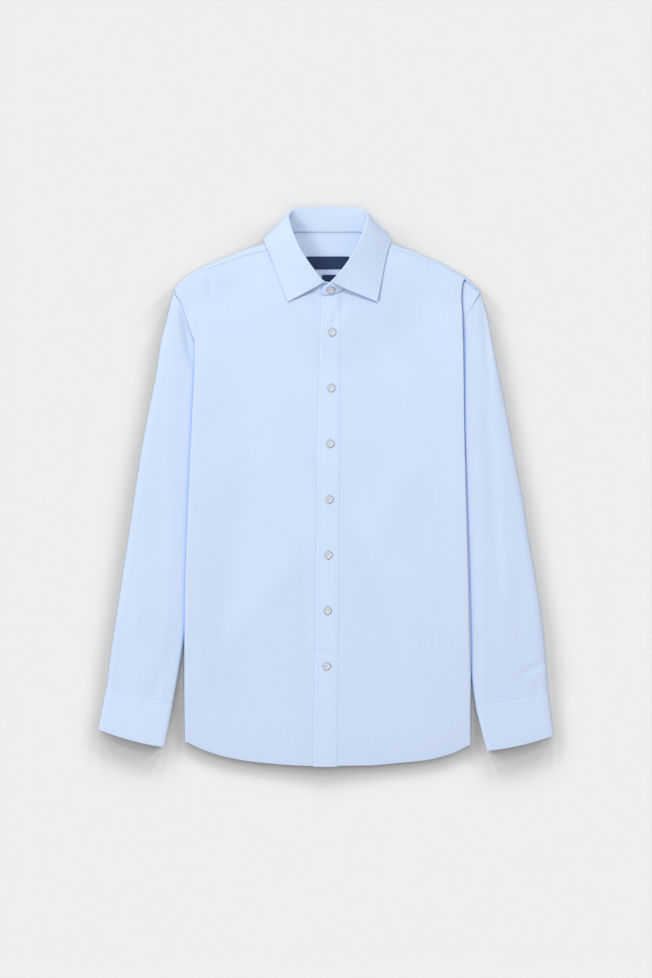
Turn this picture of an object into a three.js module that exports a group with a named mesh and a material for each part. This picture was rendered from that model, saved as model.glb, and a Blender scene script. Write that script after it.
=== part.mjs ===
// A long sleeve dress shirt, buttoned up, lying flat on its back with its sleeves beside it.
// Millimetres. X runs across the shirt, Y runs up it from the hem to the collar, and Z is up
// from the surface that it lies on. Names say the wearer's side: the wearer's right is at -X.
// Every piece of cloth is a wall about a surface through the middle of its thickness.

import * as THREE from 'three';

// Thickness of the cloth
const CLOTH = 1.2;
const BAND_CLOTH = 1.8;
const COLLAR_CLOTH = 1.8;
const CUFF_CLOTH = 2;
const LABEL_CLOTH = 0.8;
const SEAM_GAP = 0.3;
const LYING = CLOTH / 2;

// Heights of the middle of the top cloth
const BODY_HEIGHT = 5.6;
const NECK_HEIGHT = 14.6;
const HEM_HEIGHT = 3.1;
const SLEEVE_HEIGHT = 9.6;
const TUCKED_SLEEVE_HEIGHT = 5.4;
const CUFF_HEIGHT = 8;
const FLAP_OVER_SLEEVE = 6.9;
const PLACKET_LIFT = 0.5;
const BUTTON_LIFT = 0.6;
const UNDER_PLACKET = 1.8;

// Places
const NECK_CENTRE_X = 3;
const NECK_CENTRE_Y = 335;
const YOKE_SEAM_Y = 282;
const PLACKET_TOP_Y = 288;
const UNDERARM_Y = 110;
const FLAP_TOP_Y = 97;
const SLEEVE_HEAD_Y = 291.5;
const SHOULDER_POINT_X = 228;
const CUFF_JOIN_GAP = 0.4;

// How the front cloth rises: round the neck, below the shoulder seam, and beside the folded
// edge where it lies over the tucked sleeve. Shares are of the rise from body to neck.
const NECK_RISE = { reach: 95, full: 0.85, none: 1.75 };
const SHOULDER_RISE = { share: 0.78, inset: 12, width: 34, tipDrop: 0.2, tipWidth: 40 };
const SIDE_RISE = { share: 0.155, overSleeve: 0.68, width: 48 };
const HEM_RISE = { height: 1.1, width: 60, reach: 75 };

// Buttons
const BUTTON_RADIUS = 5.7;
const BUTTON_THICK = 2;
const FRONT_BUTTONS = 7;
const TOP_BUTTON = { x: 9.3, y: 231.7 };
const LAST_BUTTON = { x: 1.05, y: -269.6 };
const COLLAR_BUTTON = { x: 6.9, y: 295.4 };

// The wearer's two sides. The folded edge of the body hides the armhole below `cross`.
const RIGHT = {
  name: 'right', sign: -1, cross: 220, frontTop: 292.5, neckEnd: 77.5, seamEnd: 226.5,
  seamInset: 12, underarm: 152, upperRows: [205, 222, 250, 275, 292.5],
  cuff: {
    seamOuter: [329.1, -301.3], seamInner: [230.6, -326.3],
    hemInner: [243.2, -391.4], hemOuter: [341.6, -365],
  },
};
const LEFT = {
  name: 'left', sign: 1, cross: 253, frontTop: 312, neckEnd: 83, seamEnd: 210,
  seamInset: 8, underarm: 157, upperRows: [210, 235, 252, 262, 286, 312],
  cuff: {
    seamOuter: [333.5, -310.9], seamInner: [225.3, -330.4],
    hemInner: [242, -397], hemOuter: [341.7, -374.2],
  },
};

// Tables. Columns named right and left are distances out from the middle, at that y or x.
const FOLDED_SIDE = table('y right left', [
  [-395, 212, 217.5],
  [-300, 213, 217.5],
  [-150, 211.5, 215.4],
  [-60, 208.5, 212.8],
  [30, 205, 210],
  [100, 201.5, 208.2],
  [200, 197.2, 206.6],
  [250, 197, 204.8],
  [280, 197, 202.5],
  [300, 197, 204.5],
  [312, 197, 208],
]);
const ARMHOLE = table('y right left', [
  [110, 152, 157],
  [150, 170, 170.5],
  [185, 184.5, 181],
  [220, 198.5, 194.5],
  [253, 209.5, 208.5],
  [268, 214.5, 218],
  [280, 219.5, 225.5],
  [292, 227.5, 231.5],
]);
const SIDE_SEAM = table('y right left', [
  [-395, 172, 177],
  [-200, 177, 180],
  [-100, 174, 175],
  [-60, 169, 169.5],
  [0, 158.5, 160.5],
  [30, 153, 156],
  [80, 144, 148],
  [97, 141, 145.5],
]);
const SLEEVE_OUTSIDE = table('y right left', [
  [-311, 329.8, 333.5],
  [-260, 324, 330],
  [-200, 315, 324],
  [-140, 306, 315],
  [-80, 297, 304.5],
  [-20, 288, 295.5],
  [40, 279, 283.5],
  [100, 268.5, 273],
  [160, 256.5, 261],
  [220, 247.5, 249],
  [250, 240, 243],
  [280, 232.8, 235.5],
  [292, 229.3, 231.8],
]);
const SHOULDER = table('x right left', [
  [77, 369, 371],
  [92, 365, 368.3],
  [107, 360.8, 362.3],
  [132, 352, 353.6],
  [154, 342.8, 343.8],
  [177, 334, 334],
  [193, 325.5, 323.8],
  [208, 316.3, 316.4],
  [219, 307, 306.4],
  [228, 296.5, 297],
]);
const HEM = table('x y', [
  [-213, -382],
  [-185, -395],
  [-151, -406],
  [-100, -414.5],
  [-20, -419.5],
  [60, -419],
  [111, -415],
  [150, -411],
  [189, -401],
  [217.5, -387],
]);
const PLACKET_EDGES = table('y right left', [
  [-422, -18.8, 16.3],
  [-147, -14.7, 19.2],
  [62, -12.9, 20.4],
  [200, -9.5, 20.8],
  [288, -6.5, 21],
]);
const FRONT_NECKLINE = table('out y', [
  [0, 287.6],
  [7, 288.5],
  [20, 293.6],
  [33, 302],
  [53, 318],
  [67, 335],
  [75.5, 350],
  [77.4, 357.4],
  [78.4, 362],
]);

// Large soft folds: each runs from one point to the other. Height is below zero in a trough.
const BODY_FOLDS = table('x0 y0 x1 y1 width height', [
  [-114, 25, -159, -230, 24, -1.2],
  [-200, -310, -45, -110, 26, 1.2],
  [171, 235, 190, -230, 18, -1],
  [28, -20, 111, -230, 20, -1.1],
  [28, 282, 8, 234, 7, -1.4],
  [-17, 284, -9, 262, 6, -1],
  [-203, 318, -192, 300, 5, -1.3],
  [-176, 312, -170, 292, 6, -1],
  [-35, -80, -28, -300, 10, -0.8],
]);
const SLEEVE_FOLDS = table('side x0 y0 x1 y1 width height', [
  [1, 262, 120, 273, -225, 8, -2],
  [1, 240, 255, 252, 150, 5, -1.1],
  [1, 292, -292, 326, -272, 7, -1.6],
  [1, 300, -140, 318, -280, 12, 0.9],
  [-1, -246, 20, -247, -225, 7, -1.5],
  [-1, -262, 60, -290, -240, 11, 0.8],
  [-1, -236, -270, -262, -312, 8, -0.9],
]);

// The collar from the buttoned front to the centre back: the seam round the neck, the roll
// where the leaf turns over, and the free edge of the leaf. `out` columns are from the centre
// of the neck, and `hang` says how high the leaf stands between the roll and its edge.
const COLLAR = table(
  'neckOut neckY neckZ rollOut rollY rollZ edgeRight edgeLeft edgeY edgeZ hang lap',
  [
    [7, 288.5, 14.6, 4, 306, 29.5, 60.6, 74.3, 277, 21, 0.35, 2.9],
    [33, 302, 14.6, 23, 326.5, 33.5, 68, 78, 296.5, 18, 0.4, 1],
    [53, 318, 14.6, 33.5, 341, 35.5, 76, 82, 317, 17.2, 0.45, 0],
    [67, 335, 14.6, 42, 355, 36.5, 83.5, 86, 337, 17, 0.5, 0],
    [76, 352, 14.4, 49, 370, 36.5, 90, 90, 353.6, 17.6, 0.5, 0],
    [79, 366, 12, 55.5, 388, 34.5, 95.8, 94.8, 369.5, 12, 0.5, 0],
    [73, 376, 8, 58.5, 402, 30, 90.5, 90.5, 379.5, 5, 0.4, 0],
    [61, 381, 5, 55, 411, 23.5, 75, 75, 386.5, 1.3, 0.2, 0],
    [43, 382.5, 3.6, 43, 416, 19, 48, 48, 387.5, 0.95, 0.05, 0],
    [0, 382.5, 3.2, 0, 417, 17, 0, 0, 387.5, 0.95, 0.02, 0],
  ],
);
const UNDER_END = { neck: [16, 288.8, 14.6], roll: [15, 305, 27.5] };
const OVER_END = { neck: [-5.5, 289.5, 18.6], roll: [-6.5, 300.5, 28] };

// Small helpers
function table(names, rows) {
  const columns = names.split(' ');
  return rows.map((row) => Object.fromEntries(columns.map((name, i) => [name, row[i]])));
}

function clamp(value, low, high) {
  return Math.min(Math.max(value, low), high);
}

function mix(a, b, t) {
  return a + (b - a) * t;
}

function smooth(low, high, value) {
  const t = clamp((value - low) / (high - low), 0, 1);
  return t * t * (3 - 2 * t);
}

function bell(value, width) {
  return Math.exp(-((value / width) ** 2));
}

// From 0 at an edge to 1 at `radius` in from it, as a quarter of an ellipse
function roundOff(distance, radius) {
  return Math.sqrt(1 - (1 - clamp(distance / radius, 0, 1)) ** 2);
}

// A smooth curve through a table's rows that never overshoots them
function through(rows, from, to) {
  const x = rows.map((row) => row[from]);
  const y = rows.map((row) => row[to]);
  const last = x.length - 1;
  const rise = x.slice(1).map((value, i) => (y[i + 1] - y[i]) / (value - x[i]));
  const slope = y.map((_, i) => {
    if (i === 0) return rise[0];
    if (i === last) return rise[last - 1];
    const product = rise[i - 1] * rise[i];
    return product <= 0 ? 0 : (2 * product) / (rise[i - 1] + rise[i]);
  });
  return (value) => {
    const at = clamp(value, x[0], x[last]);
    let i = 0;
    while (i < last - 1 && at > x[i + 1]) i += 1;
    const span = x[i + 1] - x[i];
    const t = (at - x[i]) / span;
    const a = y[i] * (1 + 2 * t) * (1 - t) ** 2 + y[i + 1] * t * t * (3 - 2 * t);
    return a + span * (slope[i] * t * (1 - t) ** 2 - slope[i + 1] * t * t * (1 - t));
  };
}

function steps(count) {
  return Array.from({ length: count }, (_, i) => i / (count - 1));
}

function vector(x, y, z) {
  return new THREE.Vector3(x, y, z);
}

for (const side of [RIGHT, LEFT]) {
  side.fold = through(FOLDED_SIDE, 'y', side.name);
  side.armhole = through(ARMHOLE, 'y', side.name);
  side.sideSeam = through(SIDE_SEAM, 'y', side.name);
  side.outside = through(SLEEVE_OUTSIDE, 'y', side.name);
  side.shoulder = through(SHOULDER, 'x', side.name);
}
const hemY = through(HEM, 'x', 'y');
const placketRight = through(PLACKET_EDGES, 'y', 'right');
const placketLeft = through(PLACKET_EDGES, 'y', 'left');
const necklineY = through(FRONT_NECKLINE, 'out', 'y');

// The edge of the body as seen from above: the fold, or on the right the armhole above it
function bodyEdge(side, y) {
  if (side === LEFT) return side.fold(y);
  const seam = side.armhole(y) - SEAM_GAP / 2;
  return mix(side.fold(y), seam, smooth(side.cross - 8, side.cross + 8, y));
}

// The underarm fold of the sleeve, most of it under the body
function sleeveInside(side, y) {
  const [cuffX, cuffY] = side.cuff.seamInner;
  return mix(side.underarm, cuffX, (UNDERARM_Y - y) / (UNDERARM_Y - cuffY));
}

function foldHeight(folds, x, y) {
  let height = 0;
  for (const fold of folds) {
    const along = vector(fold.x1 - fold.x0, fold.y1 - fold.y0, 0);
    const from = vector(x - fold.x0, y - fold.y0, 0);
    const t = clamp(from.dot(along) / along.lengthSq(), 0, 1);
    height += fold.height * bell(from.addScaledVector(along, -t).length(), fold.width);
  }
  return height;
}

// Height of the middle of the front cloth
function frontHeight(x, y) {
  const side = x < NECK_CENTRE_X ? RIGHT : LEFT;
  const out = Math.abs(x);
  const fromNeck = Math.hypot(x - NECK_CENTRE_X, y - NECK_CENTRE_Y) / NECK_RISE.reach;
  const neck = 1 - smooth(NECK_RISE.full, NECK_RISE.none, fromNeck);
  const belowSeam = Math.max(0, side.shoulder(out) - SHOULDER_RISE.inset - y);
  const tip = SHOULDER_RISE.tipDrop * bell(out - SHOULDER_POINT_X, SHOULDER_RISE.tipWidth);
  const shoulder = SHOULDER_RISE.share * (1 - tip) * bell(belowSeam, SHOULDER_RISE.width);
  const towardShoulder = (1 - 0.8 * smooth(235, 285, y)) * (1 - 0.4 * smooth(240, 300, y));
  const overSleeve = SIDE_RISE.overSleeve * smooth(-330, -235, y) * towardShoulder;
  const atFold = mix(SIDE_RISE.share, 1, overSleeve);
  const besideFold = atFold * bell(Math.max(0, side.fold(y) - out), SIDE_RISE.width);
  const raised = 1 - (1 - neck) * (1 - shoulder) * (1 - besideFold);
  const full = mix(BODY_HEIGHT, NECK_HEIGHT, raised) + foldHeight(BODY_FOLDS, x, y);
  const hem = HEM_HEIGHT + HEM_RISE.height * bell(x, HEM_RISE.width);
  const fromHem = clamp((y - hemY(x)) / HEM_RISE.reach, 0, 1);
  return mix(hem, full, 1 - (1 - fromHem) ** 2);
}

// Height of the flap that is turned under the side, over the tucked part of the sleeve
function flapHeight(side, out, y) {
  const inside = sleeveInside(side, y);
  return mix(LYING, FLAP_OVER_SLEEVE, smooth(inside - 13, inside - 3, out));
}

// Where the flap ends: at the side seam on the surface, and above the underarm at the armhole
function flapEnd(side, y) {
  const armhole = side.armhole(y) - SEAM_GAP / 2;
  return mix(side.sideSeam(y), armhole, smooth(FLAP_TOP_Y, UNDERARM_Y, y));
}

// A closed wall about a grid of points. `ring` joins the last column to the first.
function wall(name, grid, thickness, material, ring = false) {
  const rows = grid.length;
  const columns = grid[0].length;
  const at = (i, j) => grid[clamp(i, 0, rows - 1)][
    ring ? (j + columns) % columns : clamp(j, 0, columns - 1)
  ];
  const outer = [];
  const inner = [];
  for (let i = 0; i < rows; i += 1) {
    for (let j = 0; j < columns; j += 1) {
      const down = vector().subVectors(at(i + 1, j), at(i - 1, j));
      const across = vector().subVectors(at(i, j + 1), at(i, j - 1));
      const normal = vector().crossVectors(across, down).normalize();
      for (const [list, way] of [[outer, 1], [inner, -1]]) {
        const point = at(i, j).clone().addScaledVector(normal, (way * thickness) / 2);
        point.z = Math.max(point.z, 0);
        list.push(point);
      }
    }
  }
  const faces = [];
  const size = rows * columns;
  const quad = (a, b, c, d) => faces.push(a, b, c, a, c, d);
  const lastColumn = ring ? columns : columns - 1;
  for (let i = 0; i < rows - 1; i += 1) {
    for (let j = 0; j < lastColumn; j += 1) {
      const a = i * columns + j;
      const b = i * columns + ((j + 1) % columns);
      quad(a, b, b + columns, a + columns);
      quad(size + a, size + a + columns, size + b + columns, size + b);
    }
  }
  for (let j = 0; j < lastColumn; j += 1) {
    const next = (j + 1) % columns;
    const end = (rows - 1) * columns;
    quad(j, size + j, size + next, next);
    quad(end + j, end + next, size + end + next, size + end + j);
  }
  for (let i = 0; i < rows - 1 && !ring; i += 1) {
    const a = i * columns;
    const b = a + columns - 1;
    quad(a, a + columns, size + a + columns, size + a);
    quad(b, size + b, size + b + columns, b + columns);
  }
  const points = [...outer, ...inner];
  return solid(name, points, faces, material);
}

function solid(name, points, faces, material) {
  let volume = 0;
  for (let f = 0; f < faces.length; f += 3) {
    const [a, b, c] = [points[faces[f]], points[faces[f + 1]], points[faces[f + 2]]];
    volume += a.dot(vector().crossVectors(b, c));
  }
  const geometry = new THREE.BufferGeometry().setFromPoints(points);
  geometry.setIndex(volume > 0 ? faces : faces.reverse());
  geometry.computeVertexNormals();
  const mesh = new THREE.Mesh(geometry, material);
  mesh.name = name;
  return mesh;
}

// Points on the shoulder seam, moved in from the outline of the shoulder
function shoulderFrame(side, out) {
  const slope = (side.shoulder(out + 1) - side.shoulder(out - 1)) / 2;
  const normal = new THREE.Vector2(-slope, 1).normalize();
  const along = (out - side.neckEnd) / (SHOULDER_POINT_X - side.neckEnd);
  return { out, y: side.shoulder(out), normal, inset: mix(side.seamInset, 3.5, along) };
}

function shoulderSeam(side, out, gap) {
  const frame = shoulderFrame(side, out);
  const inset = frame.inset + gap;
  return {
    x: side.sign * (frame.out - frame.normal.x * inset),
    y: frame.y - frame.normal.y * inset,
  };
}

// Front panels. Rows are by y, above the hem and below the armhole's crossing.
const NECK_STEPS = 5;
const SHOULDER_STEPS = 8;
const NECK_SHARE = 0.3;
const FRONT_ROWS = [
  -355, -310, -270, -235, -195, -140, -80, -20, 35, 75, FLAP_TOP_Y, 104, 112, 140, 175,
];

// Degrees round the fold of the side. On the left, above the crossing, the cloth falls away in
// a step instead, and the shares run on from there to the armhole.
const FOLD_DEGREES = [60, 30, 0, -30, -60, -90];
const STEP_FALL = table('away fall', [
  [1.2, 0.3],
  [2.2, 1.2],
  [2.8, 2.4],
  [2.9, 3.6],
  [3.3, 4.6],
  [4.4, 5.2],
]);
const STEP_SHARES = [0.2, 0.45, 0.72, 1];

// From the neck to where the front's top edge ends: the tip, or the fold on the left
function shoulderOut(side, along) {
  return mix(side.neckEnd, side.seamEnd, along);
}

function frontTop(side, column) {
  if (column <= NECK_STEPS) {
    const end = shoulderSeam(side, side.neckEnd, SEAM_GAP);
    const from = side.sign * (frontInner(side, PLACKET_TOP_Y) - NECK_CENTRE_X);
    const to = side.sign * (end.x - NECK_CENTRE_X);
    if (column === NECK_STEPS) return end;
    const out = mix(from, to, Math.sin(((column / NECK_STEPS) * Math.PI) / 2));
    return { x: NECK_CENTRE_X + side.sign * out, y: necklineY(Math.abs(out)) };
  }
  const out = shoulderOut(side, (column - NECK_STEPS) / SHOULDER_STEPS);
  return shoulderSeam(side, out, SEAM_GAP);
}

// The panel's edge beside the placket. The right front's button stand goes on under it.
function frontInner(side, y) {
  return side === RIGHT ? placketRight(y) - 9 : placketLeft(y) + SEAM_GAP;
}

function foldRadius(side, y) {
  const edge = bodyEdge(side, y);
  const top = frontHeight(side.sign * edge, y);
  const deep = (top - flapHeight(side, edge - 4, y)) / 2;
  return side === RIGHT ? mix(deep, 0.75, smooth(side.cross - 10, side.cross + 12, y)) : deep;
}

// Where the front panel's top surface ends, just before it turns under
function frontSide(side, v) {
  const low = hemY(side.sign * side.fold(-395)) + 0.5;
  const y = mix(low, side.frontTop, v);
  const radius = foldRadius(side, y);
  return { x: side.sign * (bodyEdge(side, y) - radius - CLOTH / 2), y, radius };
}

// Past the side: round the fold and in along the flap, or down the step above the crossing
function pastSide(side, v) {
  const start = frontSide(side, v);
  const out = Math.abs(start.x);
  const top = frontHeight(start.x, start.y);
  const low = top - 2 * start.radius;
  const under = FOLD_DEGREES.map((degrees) => {
    const angle = THREE.MathUtils.degToRad(degrees);
    return [
      out + start.radius * Math.cos(angle), start.y,
      top - start.radius + start.radius * Math.sin(angle),
    ];
  });
  const end = Math.min(flapEnd(side, start.y), out - 0.8);
  const drop = clamp(sleeveInside(side, start.y) - 2, mix(end, out, 0.25), mix(end, out, 0.75));
  for (const at of [mix(out, drop, 0.5), drop, mix(drop, end, 0.55), end]) {
    const height = start.y < side.cross - 12 ? flapHeight(side, at, start.y) : low;
    under.push([at, start.y, height]);
  }
  const step = smooth(side.cross, side.cross + 9, start.y);
  if (side === RIGHT || step === 0) return under;
  const share = (start.y - side.cross) / (side.frontTop - side.cross);
  const seamY = mix(side.cross, 290.5, share);
  const seamOut = side.armhole(seamY) - SEAM_GAP;
  const stepped = STEP_FALL.map(({ away, fall }) => [out + away, start.y - away / 3, top - fall]);
  const foot = STEP_FALL[STEP_FALL.length - 1];
  const endHeight = sleeveTop(side, seamOut, seamY) + 0.4;
  const bow = share ** 3;
  for (const t of STEP_SHARES) {
    const alongSeam = mix(side.seamEnd + 3, SHOULDER_POINT_X - 1, t);
    const seam = shoulderSeam(side, alongSeam, SEAM_GAP);
    const straight = [mix(out + foot.away, seamOut, t), mix(start.y - foot.away / 3, seamY, t)];
    stepped.push([
      mix(straight[0], seam.x, bow), mix(straight[1], seam.y, bow),
      mix(top - foot.fall, endHeight, t),
    ]);
  }
  return under.map((point, i) => point.map((value, k) => mix(value, stepped[i][k], step)));
}

function frontRow(side, v) {
  const last = NECK_STEPS + SHOULDER_STEPS;
  const sidePoint = frontSide(side, v);
  const hemSide = frontSide(side, 0);
  const topSide = frontSide(side, 1);
  const topInner = frontTop(side, 0);
  const hemX = frontInner(side, hemY(0));
  const middleY = mix(hemY(hemX), topInner.y, v);
  const middleX = frontInner(side, middleY);
  const row = [];
  for (let column = 0; column <= last; column += 1) {
    const u = column < NECK_STEPS ? (NECK_SHARE * column) / NECK_STEPS
      : mix(NECK_SHARE, 1, (column - NECK_STEPS) / SHOULDER_STEPS);
    const top = frontTop(side, column);
    const lowX = mix(hemX, hemSide.x, u);
    const lowY = column === last ? hemSide.y : hemY(lowX);
    const cornerX = mix(mix(hemX, hemSide.x, u), mix(topInner.x, topSide.x, u), v);
    const cornerY = mix(mix(hemY(hemX), hemSide.y, u), mix(topInner.y, topSide.y, u), v);
    const x = mix(lowX, top.x, v) + mix(middleX, sidePoint.x, u) - cornerX;
    const y = mix(lowY, top.y, v) + mix(middleY, sidePoint.y, u) - cornerY;
    row.push(vector(x, y, frontHeight(x, y)));
  }
  if (side === RIGHT) row.unshift(...buttonStand(middleY, topInner.y, v));
  const turned = pastSide(side, v).map(([out, y, z]) => vector(side.sign * out, y, z));
  return [...row, ...turned];
}

// The part of the right front that lies under the placket
function buttonStand(y, topY, v) {
  const middle = mix(placketLeft(y), placketRight(y), 0.5);
  return [placketLeft(y) - 3, middle, placketRight(y) - 1].map((x) => {
    const atNeck = (necklineY(Math.abs(x - NECK_CENTRE_X)) - topY) * v ** 8;
    const atHem = (hemY(x) - hemY(frontInner(RIGHT, hemY(0)))) * (1 - v) ** 8;
    const under = y + atNeck + atHem;
    return vector(x, under, frontHeight(x, under) - UNDER_PLACKET);
  });
}

function frontPanel(side, material) {
  const low = frontSide(side, 0).y;
  const grid = [low, ...FRONT_ROWS, ...side.upperRows].map((y) => (
    frontRow(side, (y - low) / (side.frontTop - low))
  ));
  return wall(`front_${side.name}`, grid, CLOTH, material);
}

function placket(material) {
  const nearTop = [200, 216, 230, 244, 260, 275, PLACKET_TOP_Y];
  const rowHeights = [hemY(0) - 1.4, -400, ...FRONT_ROWS, ...nearTop];
  const grid = rowHeights.map((y) => steps(4).map((u) => {
    const x = mix(placketRight(y), placketLeft(y), u);
    return vector(x, y, frontHeight(x, y) + PLACKET_LIFT);
  }));
  return wall('placket', grid, BAND_CLOTH, material);
}

// Back panel, flat on the surface, inside the turned flaps
const BACK_HEM_INSET = 3;

function backEdge(side, y) {
  return flapEnd(side, y) - (y < UNDERARM_Y ? 2 * SEAM_GAP : 0);
}

function backPanel(material) {
  const above = [-310, -195, -80, 35, 75, FLAP_TOP_Y, 104, 112, 140, 175, 215, 240, 260];
  const grid = [-400, ...above, YOKE_SEAM_Y - SEAM_GAP].map((y, i) => steps(9).map((u) => {
    const x = mix(-backEdge(RIGHT, y), backEdge(LEFT, y), u);
    return vector(x, i === 0 ? hemY(x) + BACK_HEM_INSET : y, LYING);
  }));
  return wall('back', grid, CLOTH, material);
}

// The collar's curves, by station from 0 at the wearer's right front to the left front
const COLLAR_BACK = COLLAR.length - 1;
const COLLAR_END = 2 * COLLAR_BACK;
const COLLAR_STEPS_EACH = 2;
const STAND_LIFT = 1.6;

function collarCurves() {
  const rows = [];
  for (let station = 0; station <= COLLAR_END; station += 1) {
    const onLeft = station > COLLAR_BACK;
    const row = COLLAR[onLeft ? COLLAR_END - station : station];
    const sign = onLeft ? 1 : -1;
    const lap = onLeft ? row.lap : 0;
    rows.push({
      station,
      neckX: NECK_CENTRE_X + sign * row.neckOut, neckY: row.neckY, neckZ: row.neckZ + lap,
      rollX: NECK_CENTRE_X + sign * row.rollOut, rollY: row.rollY, rollZ: row.rollZ + lap,
      edgeX: NECK_CENTRE_X + sign * (onLeft ? row.edgeLeft : row.edgeRight),
      edgeY: row.edgeY, edgeZ: row.edgeZ, hang: row.hang,
    });
  }
  for (const [station, end] of [[-1, UNDER_END], [COLLAR_END + 1, OVER_END]]) {
    const near = rows[station < 0 ? 0 : rows.length - 1];
    rows.push({
      ...near, station,
      neckX: end.neck[0], neckY: end.neck[1], neckZ: end.neck[2],
      rollX: end.roll[0], rollY: end.roll[1], rollZ: end.roll[2],
    });
  }
  rows.sort((a, b) => a.station - b.station);
  const names = Object.keys(rows[0]).filter((name) => name !== 'station');
  return Object.fromEntries(names.map((name) => [name, through(rows, 'station', name)]));
}

const collar = collarCurves();

function collarPoints(station) {
  const neck = vector(collar.neckX(station), collar.neckY(station), collar.neckZ(station));
  const roll = vector(collar.rollX(station), collar.rollY(station), collar.rollZ(station));
  const edge = vector(collar.edgeX(station), collar.edgeY(station), collar.edgeZ(station));
  const up = roll.clone().sub(neck).normalize();
  return { neck, roll, edge, up, hang: collar.hang(station) };
}

function collarStations(first, last) {
  const count = (last - first) * COLLAR_STEPS_EACH + 1;
  return steps(count).map((t) => mix(first, last, t));
}

function collarStand(material) {
  const grid = collarStations(-1, COLLAR_END + 1).map((station) => {
    const { neck, roll, up } = collarPoints(station);
    const foot = neck.clone().addScaledVector(up, STAND_LIFT);
    const head = roll.clone().addScaledVector(up, -SEAM_GAP);
    return steps(4).map((u) => foot.clone().lerp(head, u));
  });
  return wall('collar_stand', grid, COLLAR_CLOTH, material);
}

// The leaf turns over the top of the stand in a round roll, then falls to its edge
const ROLL_RADIUS = 2.2;
const ROLL_DEGREES = [0, 50, 100, 150];
const LEAVING_ROLL = { away: 4, down: 7 };
const FALL_SHARES = [0.18, 0.38, 0.6, 0.8, 1];

function leafProfile(station) {
  const { roll, edge, up, hang } = collarPoints(station);
  const fall = edge.clone().sub(roll);
  const away = fall.clone().addScaledVector(up, -fall.dot(up)).normalize();
  const head = roll.clone().addScaledVector(up, SEAM_GAP);
  const arc = ROLL_DEGREES.map((degrees) => {
    const angle = THREE.MathUtils.degToRad(degrees);
    return head.clone()
      .addScaledVector(away, ROLL_RADIUS * (1 - Math.cos(angle)))
      .addScaledVector(up, ROLL_RADIUS * Math.sin(angle));
  });
  const start = arc[arc.length - 1];
  const leaving = start.clone()
    .addScaledVector(away, LEAVING_ROLL.away)
    .addScaledVector(up, -LEAVING_ROLL.down);
  const hung = edge.clone().addScaledVector(fall, -0.4);
  hung.z = mix(edge.z, roll.z, hang);
  const curve = new THREE.CubicBezierCurve3(start, leaving, hung, edge);
  return [...arc, ...FALL_SHARES.map((u) => curve.getPoint(u))];
}

function collarLeaf(material) {
  const grid = collarStations(0, COLLAR_END).map(leafProfile);
  return wall('collar_leaf', grid, COLLAR_CLOTH, material);
}

// Yoke: flat under the neck, rolled over each shoulder to the forward seam
const NECK_ROLL = { radius: 7, station: 4.6, steps: 11 };
const TIP_RADIUS = 5.4;
const ROLLED_SHARES = [0.17, 0.34, 0.51, 0.68, 0.84, 1];

function yokeStations() {
  const stations = [];
  for (const side of [RIGHT, LEFT]) {
    const list = [];
    const outs = steps(SHOULDER_STEPS + 1).map((t) => shoulderOut(side, 1 - t));
    const past = side === RIGHT ? [SHOULDER_POINT_X] : [SHOULDER_POINT_X, 221, 214];
    for (const shoulder of [...past, ...outs]) {
      const frame = shoulderFrame(side, shoulder);
      const seam = shoulderSeam(side, frame.out, 0);
      const radius = (frontHeight(seam.x, seam.y) - LYING) / 2;
      const onArc = frame.inset < radius;
      list.push({
        foot: [frame.out - frame.normal.x * radius, frame.y - frame.normal.y * radius],
        normal: frame.normal,
        radius,
        turn: onArc ? Math.PI - Math.asin(1 - frame.inset / radius) : Math.PI,
        strip: onArc ? 0 : frame.inset - radius,
      });
    }
    const last = list[list.length - 1];
    const upward = new THREE.Vector2(0, 1);
    const end = side === RIGHT ? NECK_ROLL.steps : NECK_ROLL.steps - 1;
    for (const t of steps(NECK_ROLL.steps).slice(1, end)) {
      const { neck } = collarPoints(mix(NECK_ROLL.station, COLLAR_BACK, t));
      const radius = mix(last.radius, NECK_ROLL.radius, smooth(0, 0.3, t));
      const normal = last.normal.clone().lerp(upward, smooth(0, 0.6, t)).normalize();
      const turn = Math.acos(clamp(1 - (neck.z - LYING) / radius, -1, 1));
      const reach = radius * Math.sin(turn);
      const out = side.sign * (side.sign < 0 ? neck.x : 2 * NECK_CENTRE_X - neck.x);
      list.push({
        foot: [out - normal.x * reach, neck.y - normal.y * reach],
        normal, radius, turn, strip: last.strip * (1 - smooth(0, 0.08, t)),
      });
    }
    const placed = list.map((item) => ({ ...item, side }));
    stations.push(...(side === RIGHT ? placed : placed.reverse()));
  }
  return stations;
}

function yoke(material) {
  const grid = yokeStations().map(({ side, foot, normal, radius, turn, strip }) => {
    const armholeOut = side.armhole(YOKE_SEAM_Y) - SEAM_GAP / 2;
    const tip = shoulderFrame(side, SHOULDER_POINT_X);
    const scale = Math.min(1, armholeOut / (tip.out - tip.normal.x * TIP_RADIUS));
    const start = [foot[0] * scale, YOKE_SEAM_Y];
    const length = radius * turn + strip;
    const flat = [0, 0.5, 1].map((t) => [
      mix(start[0], foot[0], t), mix(start[1], foot[1], t), LYING,
    ]);
    const rolled = ROLLED_SHARES.map((t) => {
      const angle = Math.min((t * length) / radius, turn);
      const straight = Math.max(0, t * length - radius * turn);
      const reach = radius * Math.sin(angle) - straight;
      return [
        foot[0] + normal.x * reach, foot[1] + normal.y * reach,
        LYING + radius * (1 - Math.cos(angle)),
      ];
    });
    return [...flat, ...rolled].map(([out, y, z]) => vector(side.sign * out, y, z));
  });
  return wall('yoke', grid, CLOTH, material);
}

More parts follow.
